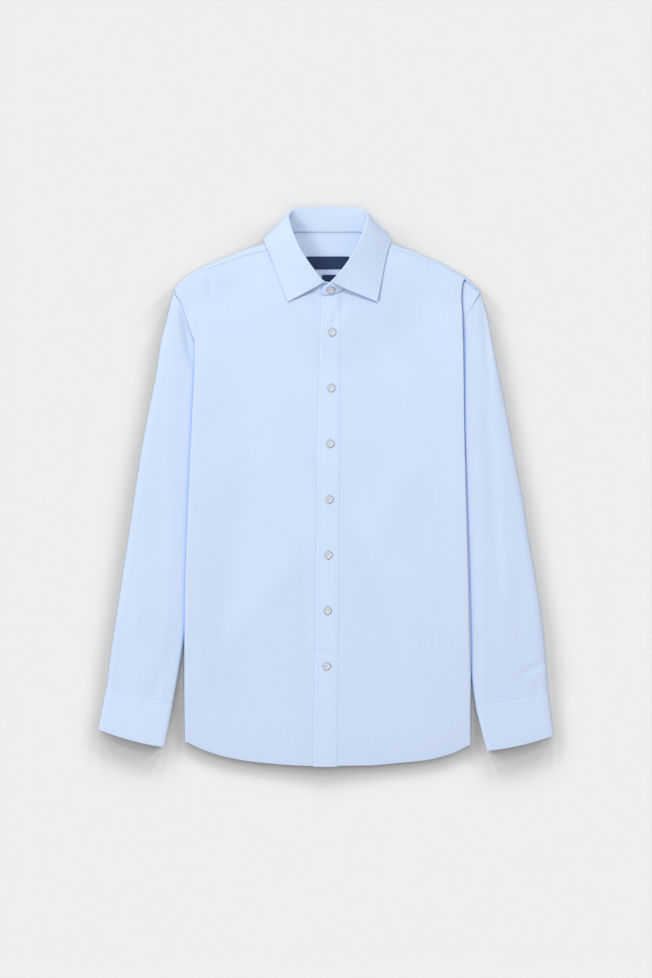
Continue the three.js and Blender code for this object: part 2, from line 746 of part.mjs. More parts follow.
// Sleeves and cuffs: flattened tubes, open at both ends. Rounding is how far in from an edge
// the top and the underside reach their full height, and ring shares run round the tube.
const SHOULDER_SEAM_HEIGHT = 10.2;
const CUFF_SEAM_HEIGHT = 7.4;
const SLEEVE_ROUNDING = { outerTop: 9, innerTop: 5, outerLow: 5, innerLow: 4 };
const CUFF_ROUNDING = { top: 7, low: 5 };
const CUFF_BELLY = 3;
const RING_TOP = [0, 0.015, 0.05, 0.12, 0.22, 0.33, 0.45, 0.57, 0.69, 0.8, 0.9, 0.97, 1];
const RING_LOW = [0.975, 0.8, 0.5, 0.2, 0.06, 0.02];
const SLEEVE_RINGS = 17;
const CUFF_RINGS = [0, 0.06, 0.3, 0.6, 0.9, 1];

function seamHeight(side, y) {
  return mix(TUCKED_SLEEVE_HEIGHT, SHOULDER_SEAM_HEIGHT, smooth(side.cross + 5, 284, y));
}

function sleeveTop(side, out, y) {
  const seam = side === LEFT && y > side.cross ? side.armhole(y) : bodyEdge(side, y);
  const base = seamHeight(side, y);
  const toCuff = smooth(-330, -255, y);
  const crown = mix(CUFF_SEAM_HEIGHT, Math.max(SLEEVE_HEIGHT, base), toCuff);
  const visible = y < -330 ? 1 : smooth(0, 30, out - seam);
  return mix(Math.min(base, crown), crown, visible);
}

function sleevePoint(side, s, w, onTop) {
  const outerY = mix(SLEEVE_HEAD_Y, side.cuff.seamOuter[1] + CUFF_JOIN_GAP, s);
  const outer = [side.outside(outerY), outerY];
  const innerY = mix(UNDERARM_Y - 1, side.cuff.seamInner[1] + CUFF_JOIN_GAP, s);
  const inner = [sleeveInside(side, innerY), innerY];
  const y = mix(outer[1], inner[1], w);
  const straight = mix(outer[0], inner[0], w);
  const chord = mix(side.outside(SLEEVE_HEAD_Y), side.underarm, w);
  const bow = side.armhole(mix(SLEEVE_HEAD_Y, UNDERARM_Y, w)) - chord;
  const out = straight + (bow + 2 * SEAM_GAP) * (1 - smooth(0, 0.3, s));
  const across = outer[0] - inner[0];
  const fromOuter = Math.min(w * across, Math.max(side.outside(y) - out, 0) + w * 40);
  const fromInner = (1 - w) * across;
  const full = sleeveTop(side, out, y) + foldHeight(foldsOf(side), side.sign * out, y);
  const middle = mix(LYING, full, 0.47);
  const { outerTop, innerTop, outerLow, innerLow } = SLEEVE_ROUNDING;
  const z = onTop
    ? mix(middle, full, Math.min(roundOff(fromOuter, outerTop), roundOff(fromInner, innerTop)))
    : mix(middle, LYING, Math.min(roundOff(fromOuter, outerLow), roundOff(fromInner, innerLow)));
  return vector(side.sign * out, y, z);
}

function foldsOf(side) {
  return SLEEVE_FOLDS.filter((fold) => fold.side === side.sign);
}

function sleeve(side, material) {
  const rings = steps(SLEEVE_RINGS).map((t) => mix(t, smooth(0, 1, t), 0.3));
  const grid = rings.map((s) => [
    ...RING_TOP.map((w) => sleevePoint(side, s, w, true)),
    ...RING_LOW.map((w) => sleevePoint(side, s, w, false)),
  ]);
  return wall(`sleeve_${side.name}`, grid, CLOTH, material, true);
}

function cuffPoint(side, q, w, onTop) {
  const { seamOuter, seamInner, hemInner, hemOuter } = side.cuff;
  const out = mix(mix(seamOuter[0], seamInner[0], w), mix(hemOuter[0], hemInner[0], w), q);
  const y = mix(mix(seamOuter[1], seamInner[1], w), mix(hemOuter[1], hemInner[1], w), q);
  const belly = CUFF_BELLY * q * 4 * w * (1 - w);
  const width = seamOuter[0] - seamInner[0];
  const near = Math.min(w, 1 - w) * width;
  const low = CUFF_CLOTH / 2;
  const full = CUFF_HEIGHT - 1.2 * q + 0.5 * Math.sin(w * Math.PI);
  const middle = (low + full) / 2;
  const rounding = onTop ? CUFF_ROUNDING.top : CUFF_ROUNDING.low;
  const z = mix(middle, onTop ? full : low, roundOff(near, rounding));
  return vector(side.sign * out, y - belly, z);
}

function cuff(side, material) {
  const grid = CUFF_RINGS.map((q) => [
    ...RING_TOP.map((w) => cuffPoint(side, q, w, true)),
    ...RING_LOW.map((w) => cuffPoint(side, q, w, false)),
  ]);
  return wall(`cuff_${side.name}`, grid, CUFF_CLOTH, material, true);
}

// Labels, flat on the inside of the yoke
function label(name, width, height, x, y, material) {
  const mesh = new THREE.Mesh(new THREE.BoxGeometry(width, height, LABEL_CLOTH), material);
  mesh.name = name;
  mesh.position.set(x, y, CLOTH + SEAM_GAP + LABEL_CLOTH / 2);
  return mesh;
}

// Buttons, each a turned disc with a raised rim, tilted to the cloth under it
const BUTTON_PROFILE = table('radius height', [
  [0, -1],
  [5.1, -1],
  [BUTTON_RADIUS, 0],
  [5.2, 1],
  [3.8, 0.4],
  [0, 0.4],
]);
const BUTTON_SIDES = 14;

function button(name, place, height, normal, material) {
  const half = BUTTON_THICK / 2;
  const profile = BUTTON_PROFILE.map((at) => new THREE.Vector2(at.radius, at.height * half));
  const geometry = new THREE.LatheGeometry(profile, BUTTON_SIDES);
  const mesh = new THREE.Mesh(geometry, material);
  mesh.name = name;
  mesh.quaternion.setFromUnitVectors(vector(0, 1, 0), normal);
  mesh.position.set(place.x, place.y, height).addScaledVector(normal, half + SEAM_GAP);
  return mesh;
}

function frontButton(number, material) {
  const t = (number - 1) / (FRONT_BUTTONS - 1);
  const x = mix(TOP_BUTTON.x, LAST_BUTTON.x, t);
  const y = mix(TOP_BUTTON.y, LAST_BUTTON.y, t);
  const reach = BUTTON_RADIUS;
  const acrossRise = frontHeight(x + reach, y) - frontHeight(x - reach, y);
  const upRise = frontHeight(x, y + reach) - frontHeight(x, y - reach);
  const normal = vector(-acrossRise, -upRise, 2 * reach).normalize();
  const height = frontHeight(x, y) + PLACKET_LIFT + BAND_CLOTH / 2 + BUTTON_LIFT;
  return button(`button_front_${number}`, { x, y }, height, normal, material);
}

function collarButton(material) {
  const { neck, roll, up } = collarPoints(COLLAR_END + 0.3);
  const along = collarPoints(COLLAR_END).neck.sub(collarPoints(COLLAR_END + 0.6).neck).normalize();
  const normal = vector().crossVectors(along, up).normalize();
  const share = (COLLAR_BUTTON.y - neck.y) / (roll.y - neck.y);
  const place = neck.clone().lerp(roll, share).addScaledVector(normal, COLLAR_CLOTH / 2 + 0.1);
  return button('button_collar', { x: COLLAR_BUTTON.x, y: place.y }, place.z, normal, material);
}

// Colours
const cloth = new THREE.MeshStandardMaterial({ color: 0xd1e1fb, roughness: 0.85, metalness: 0 });
const fused = new THREE.MeshStandardMaterial({ color: 0xd6e6fd, roughness: 0.8, metalness: 0 });
const tape = new THREE.MeshStandardMaterial({ color: 0x1d2a4a, roughness: 0.7, metalness: 0 });
const pearl = new THREE.MeshStandardMaterial({ color: 0xd9dee8, roughness: 0.3, metalness: 0 });

const group = new THREE.Group();
group.add(backPanel(cloth), yoke(cloth));
group.add(frontPanel(RIGHT, cloth), frontPanel(LEFT, cloth), placket(fused));
group.add(sleeve(RIGHT, cloth), sleeve(LEFT, cloth), cuff(RIGHT, fused), cuff(LEFT, fused));
group.add(collarStand(fused), collarLeaf(fused));
group.add(label('label_main', 64, 19, 2.6, 336.5, tape));
group.add(label('label_size', 25.5, 16, 6.75, 310.4, tape));
group.add(collarButton(pearl));
for (let number = 1; number <= FRONT_BUTTONS; number += 1) {
  group.add(frontButton(number, pearl));
}

export default group;
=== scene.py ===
import math

import bmesh
import bpy
import numpy as np
from mathutils import Matrix, Vector


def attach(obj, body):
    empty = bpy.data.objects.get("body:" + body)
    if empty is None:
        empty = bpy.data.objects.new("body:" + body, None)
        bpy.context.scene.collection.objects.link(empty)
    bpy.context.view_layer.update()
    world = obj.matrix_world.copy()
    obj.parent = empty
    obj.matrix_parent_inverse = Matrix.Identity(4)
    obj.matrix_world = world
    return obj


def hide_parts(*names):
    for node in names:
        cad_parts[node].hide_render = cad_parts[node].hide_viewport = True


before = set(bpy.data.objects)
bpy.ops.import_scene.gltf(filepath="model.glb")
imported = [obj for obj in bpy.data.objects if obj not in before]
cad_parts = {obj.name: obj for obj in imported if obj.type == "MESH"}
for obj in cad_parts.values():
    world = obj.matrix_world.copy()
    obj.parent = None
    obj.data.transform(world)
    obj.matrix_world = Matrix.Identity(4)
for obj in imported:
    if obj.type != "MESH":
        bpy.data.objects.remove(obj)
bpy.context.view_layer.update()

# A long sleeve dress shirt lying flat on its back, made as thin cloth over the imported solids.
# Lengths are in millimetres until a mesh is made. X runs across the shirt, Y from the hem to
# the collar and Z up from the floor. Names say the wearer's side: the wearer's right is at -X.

MM = 0.001

# Cloth
CLOTH = 0.7
BAND_CLOTH = 1
COLLAR_CLOTH = 1.4
LEAF_EDGE_CLOTH = 0.75
CUFF_CLOTH = 1.6
LABEL_CLOTH = 0.6
SEAM_GAP = 0.15
TOPSTITCH_INSET = 5
HEM_WIDTH = 6.5

# Heights of the middle of the cloth
LYING = 0.6
FLOOR_CLEAR = 0.05
BODY_HEIGHT = 5.6
NECK_HEIGHT = 14.6
HEM_HEIGHT = 3.1
SLEEVE_HEIGHT = 9.6
SHOULDER_SEAM_HEIGHT = 10.2
TUCKED_HEIGHT = 5.8
CUFF_SEAM_HEIGHT = 7.4
CUFF_HEIGHT = 8
CUFF_LYING = 1.0
FLAP_OVER_SLEEVE = 6.9
PLACKET_LIFT = 0.6
UNDER_PLACKET = 1.2
LABEL_LIFT = 1.8

# How far one piece goes under the next at a seam, and how much lower it lies there
UNDER_YOKE = {"reach": 2.2, "drop": 0.95}
UNDER_BODY = {"reach": 3.5, "reach_at_step": 6, "drop": 0.4}
UNDER_CUFF = {"reach": 4, "drop": 0.6, "rise": 1.6, "narrower": 0.014}
UNDER_BAND = {"right": 2.5, "left": 3}
UNDER_COLLAR = 2.5

# Places
NECK_CENTRE_X = 3
NECK_CENTRE_Y = 335
YOKE_SEAM_Y = 282
PLACKET_TOP_Y = 288
UNDERARM_Y = 110
FLAP_TOP_Y = 97
SLEEVE_HEAD_Y = 294
STEP_TOP_Y = 295
CUFF_TOP_Y = -330
SIDE_FOOT_Y = -395
SHOULDER_POINT_X = 228

# Where the body stands higher than where it lies on its back alone
NECK_RISE = {"reach": 95, "full": 0.85, "none": 1.75}
SHOULDER_RISE = {"share": 0.78, "inset": 12, "width": 34, "tip_drop": 0.2, "tip_width": 40}
SIDE_RISE = {"share": 0.155, "over_sleeve": 0.68, "width": 48, "full_from_y": -235}
SIDE_EASE = ({"by": 0.8, "from_y": 235, "to_y": 285}, {"by": 0.4, "from_y": 240, "to_y": 300})
HEM_RISE = {"height": 1.1, "width": 60, "reach": 75}

# The ends of a soft fold, and the blends near the point where a side's fold meets its armhole
FOLD_END = {"past": 0.05, "fade": 0.35, "width": 0.6}
FLAP_RAMP = {"from": 13, "to": 3}
CROSS_BLEND = 8
FLAP_STOPS_BELOW_CROSS = 12
TUCK_FADES_BELOW_CROSS = 25
STEP_BLEND = 9
TURNED_RADIUS = 0.75

# Buttons
BUTTON_RADIUS = 5.7
FRONT_BUTTONS = 7
TOP_BUTTON = (9.3, 231.7)
LAST_BUTTON = (1.05, -269.6)
COLLAR_BUTTON = (6.9, 295.4)


def table(names, rows):
    """Named columns of numbers."""
    return dict(zip(names.split(), np.array(rows, float).T))


def rows_of(names, rows):
    """The rows of a table, each as a dict."""
    return [dict(zip(names.split(), row)) for row in rows]


RIGHT = {
    "name": "right", "sign": -1, "cross": 220, "front_top": 292.5, "neck_end": 77.5,
    "seam_end": 226.5, "seam_inset": 12, "underarm": 152, "valley_width": 38,
    "seam_outer": (329.1, -301.3), "seam_inner": (230.6, -326.3),
    "hem_inner": (243.2, -391.4), "hem_outer": (341.6, -365),
}
LEFT = {
    "name": "left", "sign": 1, "cross": 253, "front_top": 312, "neck_end": 83,
    "seam_end": 210, "seam_inset": 8, "underarm": 157, "valley_width": 22,
    "seam_outer": (333.5, -310.9), "seam_inner": (225.3, -330.4),
    "hem_inner": (242, -397), "hem_outer": (341.7, -374.2),
}

FOLDED_SIDE = table("y right left", [
    (-395, 212, 217.5),
    (-300, 213, 217.5),
    (-150, 211.5, 215.4),
    (-60, 208.5, 212.8),
    (30, 205, 210),
    (100, 201.5, 208.2),
    (200, 197.2, 206.6),
    (250, 197, 204.8),
    (280, 197, 202.5),
    (300, 197, 204.5),
    (312, 197, 208),
])
ARMHOLE = table("y right left", [
    (110, 152, 157),
    (150, 170, 170.5),
    (185, 184.5, 181),
    (220, 198.5, 194.5),
    (253, 209.5, 208.5),
    (268, 214.5, 218),
    (280, 219.5, 225.5),
    (290.5, 226.9, 230.8),
    (297, 228, 229),
])
SIDE_SEAM = table("y right left", [
    (-395, 172, 177),
    (-200, 177, 180),
    (-100, 174, 175),
    (-60, 169, 169.5),
    (0, 158.5, 160.5),
    (30, 153, 156),
    (80, 144, 148),
    (97, 141, 145.5),
])
SLEEVE_OUTSIDE = table("y right left", [
    (-311, 329.8, 333.5),
    (-260, 324, 330),
    (-200, 315, 324),
    (-140, 306, 315),
    (-80, 297, 304.5),
    (-20, 288, 295.5),
    (40, 279, 283.5),
    (100, 268.5, 273),
    (160, 256.5, 261),
    (220, 247.5, 249),
    (250, 240, 243),
    (280, 232.8, 235.5),
    (290.5, 229.6, 232.2),
    (298, 228.2, 229),
])
# Height of the sleeve where it goes under the side of the body
BESIDE_BODY = table("y right left", [
    (-330, 4.8, 5),
    (-200, 5.2, 6),
    (-80, 5.4, 7),
    (60, 5.6, 8.6),
    (150, 5.4, 8.6),
    (215, 5.1, 7.6),
    (240, 5.6, 7.4),
])
SHOULDER = table("x right left", [
    (77, 369, 371),
    (92, 365, 368.3),
    (107, 360.8, 362.3),
    (132, 352, 353.6),
    (154, 342.8, 343.8),
    (177, 334, 334),
    (193, 325.5, 323.8),
    (208, 316.3, 316.4),
    (219, 307, 306.4),
    (228, 296.5, 297),
])
HEM = table("x y", [
    (-213, -382),
    (-185, -395),
    (-151, -406),
    (-100, -414.5),
    (-20, -419.5),
    (60, -419),
    (111, -415),
    (150, -411),
    (189, -401),
    (217.5, -387),
])
PLACKET_EDGES = table("y right left", [
    (-422, -18.8, 16.3),
    (-147, -14.7, 19.2),
    (62, -12.9, 20.4),
    (200, -9.5, 20.8),
    (288, -6.5, 21),
])
FRONT_NECKLINE = table("out y", [
    (0, 287.6),
    (7, 288.5),
    (20, 293.6),
    (33, 302),
    (53, 318),
    (67, 335),
    (75.5, 350),
    (77.4, 357.4),
    (78.4, 362),
])

# Soft folds, each from one point to the other. Height is below zero in a trough. The first
# ones are in the solids too, and the rest are the finer creases.
BODY_FOLDS = rows_of("x0 y0 x1 y1 width height", [
    (-106, 80, -166, -285, 26, -2.1),
    (-225, -345, -20, -70, 28, 2.1),
    (167, 330, 193, -300, 20, -1.1),
    (12, 30, 125, -280, 22, -2),
    (33, 300, 5, 222, 8, -1.7),
    (-22, 294, -5, 254, 6, -1.1),
    (-207, 330, -186, 290, 3.6, -1.6),
    (-200, 326, -176, 278, 4.5, 0.9),
    (-178, 322, -168, 280, 6, -1.1),
    (-186, 268, -196, 205, 9, -0.9),
    (-37, -60, -26, -330, 10, -0.9),
    (-150, 240, -60, 60, 30, 1.4),
    (60, 250, 130, 40, 26, -1.3),
    (150, 60, 60, -120, 24, 1.3),
    (-30, -245, 22, -256, 6, -1.1),
    (22, -382, 52, -416, 5, -0.9),
    (48, -392, 70, -417, 4, 0.7),
    (-26, -350, -20, -400, 7, -1),
    (-120, -300, -60, -418, 22, -1.3),
    (190, -270, 222, -282, 3, -0.9),
    (195, -277, 222, -290, 2.6, 0.6),
])
SLEEVE_FOLDS = rows_of("side x0 y0 x1 y1 width height", [
    (1, 236, 210, 262, -190, 10, -1.9),
    (1, 270, -60, 278, -330, 14, 1),
    (1, 233, 300, 250, 110, 5, -1.6),
    (1, 242, 300, 256, 150, 5, 0.9),
    (1, 286, -286, 332, -262, 6, -1.6),
    (1, 296, -150, 322, -290, 13, 0.9),
    (1, 312, -292, 324, -316, 4, -1),
    (-1, -220, 290, -199, 172, 6.5, -3.4),
    (-1, -240, 90, -250, -260, 13, -1.3),
    (-1, -262, 110, -288, -260, 14, 0.9),
    (-1, -228, -230, -268, -335, 10, -1),
    (-1, -300, -180, -312, -320, 12, -0.8),
])
# Half the collar, from the front to behind the neck
COLLAR = rows_of(
    "neck_out neck_y neck_z roll_out roll_y roll_z "
    "edge_right edge_left edge_y edge_z_right edge_z_left hang lap",
    [
        (7, 288.5, 14.6, 4, 306, 29.5, 60.6, 74.3, 277, 16.6, 19.4, 0.3, 2.2),
        (33, 302, 14.6, 23, 326.5, 33.5, 68, 78, 296.5, 15.4, 17.8, 0.4, 1),
        (53, 318, 14.6, 33.5, 341, 35.5, 76, 82, 317, 15.2, 16.8, 0.45, 0),
        (67, 335, 14.6, 42, 355, 36.5, 83.5, 86, 337, 15.6, 16.4, 0.5, 0),
        (76, 352, 14.4, 49, 370, 36.5, 90, 90, 353.6, 16.4, 16.6, 0.5, 0),
        (79, 366, 12, 55.5, 388, 34.5, 95.8, 94.8, 369.5, 12, 12, 0.5, 0),
        (73, 376, 7, 58.5, 402, 30, 90.5, 90.5, 379.5, 5, 5, 0.4, 0),
        (61, 381, 3.8, 55, 411, 23.5, 75, 75, 386.5, 1.3, 1.3, 0.2, 0),
        (43, 382.5, 2.2, 43, 416, 19, 48, 48, 387.5, 0.95, 0.95, 0.05, 0),
        (0, 382.5, 1.7, 0, 417, 17, 0, 0, 387.5, 0.95, 0.95, 0.02, 0),
    ],
)
UNDER_END = {"neck": (16, 288.8, 14.6), "roll": (15, 305, 27.5)}
OVER_END = {"neck": (-6.4, 287, 16.8), "roll": (-6.2, 299.2, 27.2)}


# Small helpers, on numbers or arrays
def mix(a, b, t):
    return a + (b - a) * t


def smooth(low, high, value):
    t = np.clip((value - low) / (high - low), 0, 1)
    return t * t * (3 - 2 * t)


def bell(value, width):
    return np.exp(-((value / width) ** 2))


def round_off(distance, radius):
    """From 0 at an edge to 1 at radius in from it, as a quarter of an ellipse."""
    return np.sqrt(1 - (1 - np.clip(distance / radius, 0, 1)) ** 2)


def unit(vectors):
    return vectors / np.linalg.norm(vectors, axis=-1, keepdims=True)


def spaced(start, *runs):
    """Numbers from start on, in runs that each reach an end in so many even steps."""
    parts = []
    for end, steps in runs:
        parts.append(np.linspace(start, end, steps + 1)[:-1])
        start = end
    return np.append(np.concatenate(parts), start)


def grid_of(x, y, z):
    """The points of a grid, from its coordinates in rows, columns or single numbers."""
    return np.stack(np.broadcast_arrays(x, y, z), 2)


def walked(points, axis=0):
    """How far each point of a line or grid lies from the first, along the cloth."""
    far = np.cumsum(np.linalg.norm(np.diff(points, axis=axis), axis=-1), axis=axis)
    return np.concatenate([np.zeros_like(far.take([0], axis)), far], axis)


def through(columns, across, up):
    """A smooth curve through a table's rows that never overshoots them."""
    x, y = columns[across], columns[up]
    rise = np.diff(y) / np.diff(x)
    product = rise[:-1] * rise[1:]
    total = rise[:-1] + rise[1:]
    slope = np.empty_like(y)
    slope[0], slope[-1] = rise[0], rise[-1]
    slope[1:-1] = np.where(product > 0, 2 * product / np.where(total == 0, 1, total), 0)

    def curve(value):
        at = np.clip(value, x[0], x[-1])
        i = np.clip(np.searchsorted(x, at) - 1, 0, len(x) - 2)
        span = x[i + 1] - x[i]
        t = (at - x[i]) / span
        level = y[i] * (1 + 2 * t) * (1 - t) ** 2 + y[i + 1] * t * t * (3 - 2 * t)
        return level + span * (slope[i] * t * (1 - t) ** 2 - slope[i + 1] * t * t * (1 - t))

    return curve


for side in (RIGHT, LEFT):
    side["fold"] = through(FOLDED_SIDE, "y", side["name"])
    side["armhole"] = through(ARMHOLE, "y", side["name"])
    side["side_seam"] = through(SIDE_SEAM, "y", side["name"])
    side["outside"] = through(SLEEVE_OUTSIDE, "y", side["name"])
    side["beside"] = through(BESIDE_BODY, "y", side["name"])
    side["shoulder"] = through(SHOULDER, "x", side["name"])
hem_y = through(HEM, "x", "y")
placket_right = through(PLACKET_EDGES, "y", "right")
placket_left = through(PLACKET_EDGES, "y", "left")
neckline_y = through(FRONT_NECKLINE, "out", "y")


def body_edge(side, y):
    """The edge of the body from above: the fold, or on the right the armhole above it."""
    if side is LEFT:
        return side["fold"](y)
    seam = side["armhole"](y) - SEAM_GAP / 2
    blend = smooth(side["cross"] - CROSS_BLEND, side["cross"] + CROSS_BLEND, y)
    return mix(side["fold"](y), seam, blend)


def sleeve_inside(side, y):
    cuff_x, cuff_y = side["seam_inner"]
    return mix(side["underarm"], cuff_x, (UNDERARM_Y - y) / (UNDERARM_Y - cuff_y))


def fold_height(folds, x, y):
    """What the folds add to the height at x, y. They fade and narrow toward their ends."""
    height = np.zeros(np.broadcast(x, y).shape)
    past, faded = FOLD_END["past"], FOLD_END["fade"]
    for fold in folds:
        dx, dy = fold["x1"] - fold["x0"], fold["y1"] - fold["y0"]
        length = math.hypot(dx, dy)
        t = ((x - fold["x0"]) * dx + (y - fold["y0"]) * dy) / length ** 2
        away = ((x - fold["x0"]) * dy - (y - fold["y0"]) * dx) / length
        fade = smooth(-past, faded, t) * smooth(1 + past, 1 - faded, t)
        width = fold["width"] * mix(FOLD_END["width"], 1, fade)
        height = height + fold["height"] * fade * bell(away, width)
    return height


def plain_height(side, x, y):
    """Height of the front cloth on one side, from what lies under it and its folds."""
    out = np.abs(x)
    from_neck = np.hypot(x - NECK_CENTRE_X, y - NECK_CENTRE_Y) / NECK_RISE["reach"]
    neck = 1 - smooth(NECK_RISE["full"], NECK_RISE["none"], from_neck)
    below_seam = np.maximum(0, side["shoulder"](out) - SHOULDER_RISE["inset"] - y)
    tip = SHOULDER_RISE["tip_drop"] * bell(out - SHOULDER_POINT_X, SHOULDER_RISE["tip_width"])
    shoulder = SHOULDER_RISE["share"] * (1 - tip) * bell(below_seam, SHOULDER_RISE["width"])
    eased = 1
    for ease in SIDE_EASE:
        eased = eased * (1 - ease["by"] * smooth(ease["from_y"], ease["to_y"], y))
    above_cuff = smooth(CUFF_TOP_Y, SIDE_RISE["full_from_y"], y)
    over_sleeve = SIDE_RISE["over_sleeve"] * above_cuff * eased
    at_fold = mix(SIDE_RISE["share"], 1, over_sleeve)
    beside_fold = at_fold * bell(np.maximum(0, side["fold"](y) - out), SIDE_RISE["width"])
    raised = 1 - (1 - neck) * (1 - shoulder) * (1 - beside_fold)
    full = mix(BODY_HEIGHT, NECK_HEIGHT, raised) + fold_height(BODY_FOLDS, x, y)
    hem = HEM_HEIGHT + HEM_RISE["height"] * bell(x, HEM_RISE["width"])
    from_hem = np.clip((y - hem_y(x)) / HEM_RISE["reach"], 0, 1)
    return mix(hem, full, 1 - (1 - from_hem) ** 2)


def front_height(x, y):
    """Height of the middle of the front cloth."""
    x, y = np.asarray(x, float), np.asarray(y, float)
    return np.where(x < NECK_CENTRE_X, plain_height(RIGHT, x, y), plain_height(LEFT, x, y))


def flap_height(side, out, y):
    """Height of the flap that is turned under the side, over the tucked sleeve."""
    inside = sleeve_inside(side, y)
    over = smooth(inside - FLAP_RAMP["from"], inside - FLAP_RAMP["to"], out)
    return mix(LYING, FLAP_OVER_SLEEVE, over)


def flap_end(side, y):
    armhole = side["armhole"](y) - SEAM_GAP / 2
    return mix(side["side_seam"](y), armhole, smooth(FLAP_TOP_Y, UNDERARM_Y, y))


# Meshes. A grid is an array of points, [row, column, 3].
def grid_normals(grid, ring=False):
    """Unit normals of a grid's points, from the points on each side."""
    down = np.gradient(grid, axis=0)
    if ring:
        across = (np.roll(grid, -1, 1) - np.roll(grid, 1, 1)) / 2
    else:
        across = np.gradient(grid, axis=1)
    normal = np.cross(across, down)
    length = np.linalg.norm(normal, axis=2, keepdims=True)
    return normal / np.maximum(length, 1e-9)


def wall_mesh(name, grid, thickness, ring=False):
    """A closed wall about a grid, with a uv map of lengths along the cloth in metres.

    The thickness is one number, or a number for each row or point of the grid.
    """
    rows, columns = grid.shape[:2]
    half = np.broadcast_to(thickness, (rows, columns))[..., None] / 2
    normal = grid_normals(grid, ring)
    outer = grid + normal * half
    inner = grid - normal * half
    points = np.concatenate([outer.reshape(-1, 3), inner.reshape(-1, 3)])
    points[:, 2] = np.maximum(points[:, 2], FLOOR_CLEAR)
    size = rows * columns
    last = columns if ring else columns - 1
    i, j = np.meshgrid(np.arange(rows - 1), np.arange(last), indexing="ij")
    a = (i * columns + j).ravel()
    b = (i * columns + (j + 1) % columns).ravel()
    faces = [np.stack([a, b, b + columns, a + columns], 1)]
    faces.append(np.stack([a, a + columns, b + columns, b], 1) + size)
    j = np.arange(last)
    after = (j + 1) % columns
    end = (rows - 1) * columns
    faces.append(np.stack([j, size + j, size + after, after], 1))
    faces.append(np.stack([end + j, end + after, size + end + after, size + end + j], 1))
    if not ring:
        a = np.arange(rows - 1) * columns
        b = a + columns - 1
        faces.append(np.stack([a, a + columns, size + a + columns, size + a], 1))
        faces.append(np.stack([b, size + b, size + b + columns, b + columns], 1))

    middle = columns // 2
    u = walked(grid, 1)
    u = u - u[:, middle:middle + 1]
    v = np.repeat(walked(grid)[:, middle:middle + 1], columns, 1)
    lengths = np.stack([u.ravel(), v.ravel()], 1)
    return make_mesh(name, points, np.concatenate(faces), np.concatenate([lengths, lengths]))


def make_mesh(name, points, faces, lengths=None):
    """A smooth mesh object from points in millimetres."""
    mesh = bpy.data.meshes.new(name)
    faces = np.asarray(faces)
    mesh.vertices.add(len(points))
    mesh.vertices.foreach_set("co", (np.asarray(points) * MM).astype(np.float32).ravel())
    mesh.loops.add(faces.size)
    mesh.loops.foreach_set("vertex_index", faces.astype(np.int32).ravel())
    mesh.polygons.add(len(faces))
    sides = faces.shape[1]
    mesh.polygons.foreach_set("loop_start", np.arange(0, faces.size, sides, dtype=np.int32))
    mesh.update(calc_edges=True)
    mesh.validate()
    if lengths is not None:
        layer = mesh.uv_layers.new(name="lengths")
        loops = np.empty(len(mesh.loops), dtype=np.int32)
        mesh.loops.foreach_get("vertex_index", loops)
        layer.data.foreach_set("uv", (lengths[loops] * MM).astype(np.float32).ravel())
    outside_in(mesh)
    mesh.shade_smooth()
    made = bpy.data.objects.new(name, mesh)
    bpy.context.scene.collection.objects.link(made)
    return made


def outside_in(mesh):
    """Turns a closed mesh's faces outward, by the sign of its volume."""
    work = bmesh.new()
    work.from_mesh(mesh)
    if work.calc_volume(signed=True) < 0:
        bmesh.ops.reverse_faces(work, faces=work.faces[:])
        work.to_mesh(mesh)
    work.free()


def place(piece, material, slot, *nodes):
    """Gives a piece its material, and says that it rides on the shirt and stands for nodes."""
    piece.data.materials.append(material)
    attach(piece, "root")
    if nodes:
        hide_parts(*nodes)
    return piece


def panel(node, kind, grid, thickness, material, slot, ring=False):
    """Makes the cloth, band or tape that stands for a node. Gives its grid and the piece."""
    piece = wall_mesh(f"{node}_{kind}", grid, thickness, ring)
    return grid, place(piece, material, slot, node)


# The shoulder seam, moved in from the outline of the shoulder
SEAM_INSET_AT_TIP = 3.5


def shoulder_frame(side, out):
    slope = (side["shoulder"](out + 1) - side["shoulder"](out - 1)) / 2
    length = np.hypot(slope, 1)
    along = (out - side["neck_end"]) / (SHOULDER_POINT_X - side["neck_end"])
    inset = mix(side["seam_inset"], SEAM_INSET_AT_TIP, along)
    return {"out": out, "y": side["shoulder"](out), "nx": -slope / length, "ny": 1 / length,
            "inset": inset}


def shoulder_seam(side, out, gap):
    at = shoulder_frame(side, out)
    inset = at["inset"] + gap
    return side["sign"] * (at["out"] - at["nx"] * inset), at["y"] - at["ny"] * inset


# Front panels. A column from 0 to 5 meets the neckline, and from 5 to 13 the shoulder seam.
# Past the side, a knot from 0 to 6 goes round the fold, and from 6 to 10 along the flap.
NECK_COLUMNS = 5
SHOULDER_COLUMNS = 8
LAST_COLUMN = NECK_COLUMNS + SHOULDER_COLUMNS
NECK_SHARE = 0.3
FOLD_KNOTS = 6
LAST_KNOT = 10
STEP_FALL = table("at away fall", [
    (0, 0, 0),
    (1, 0.8, 0.2),
    (2, 1.3, 0.6),
    (3, 1.6, 1.2),
    (4, 1.7, 1.75),
    (5, 1.95, 2.15),
    (FOLD_KNOTS, 2.7, 2.4),
])
STEP_SHARES = table("at share", [
    (FOLD_KNOTS, 0),
    (7, 0.2),
    (8, 0.45),
    (9, 0.72),
    (LAST_KNOT, 1),
])
step_away = through(STEP_FALL, "at", "away")
step_fall = through(STEP_FALL, "at", "fall")
step_share = through(STEP_SHARES, "at", "share")


def shoulder_out(side, along):
    return mix(side["neck_end"], side["seam_end"], along)


def front_inner(side, y):
    """The panel's edge beside the placket. The button stand goes on under it."""
    edge = placket_right if side is RIGHT else placket_left
    return edge(y) - UNDER_BAND[side["name"]]


def neck_share(column):
    return np.sin(np.clip(column / NECK_COLUMNS, 0, 1) * math.pi / 2)


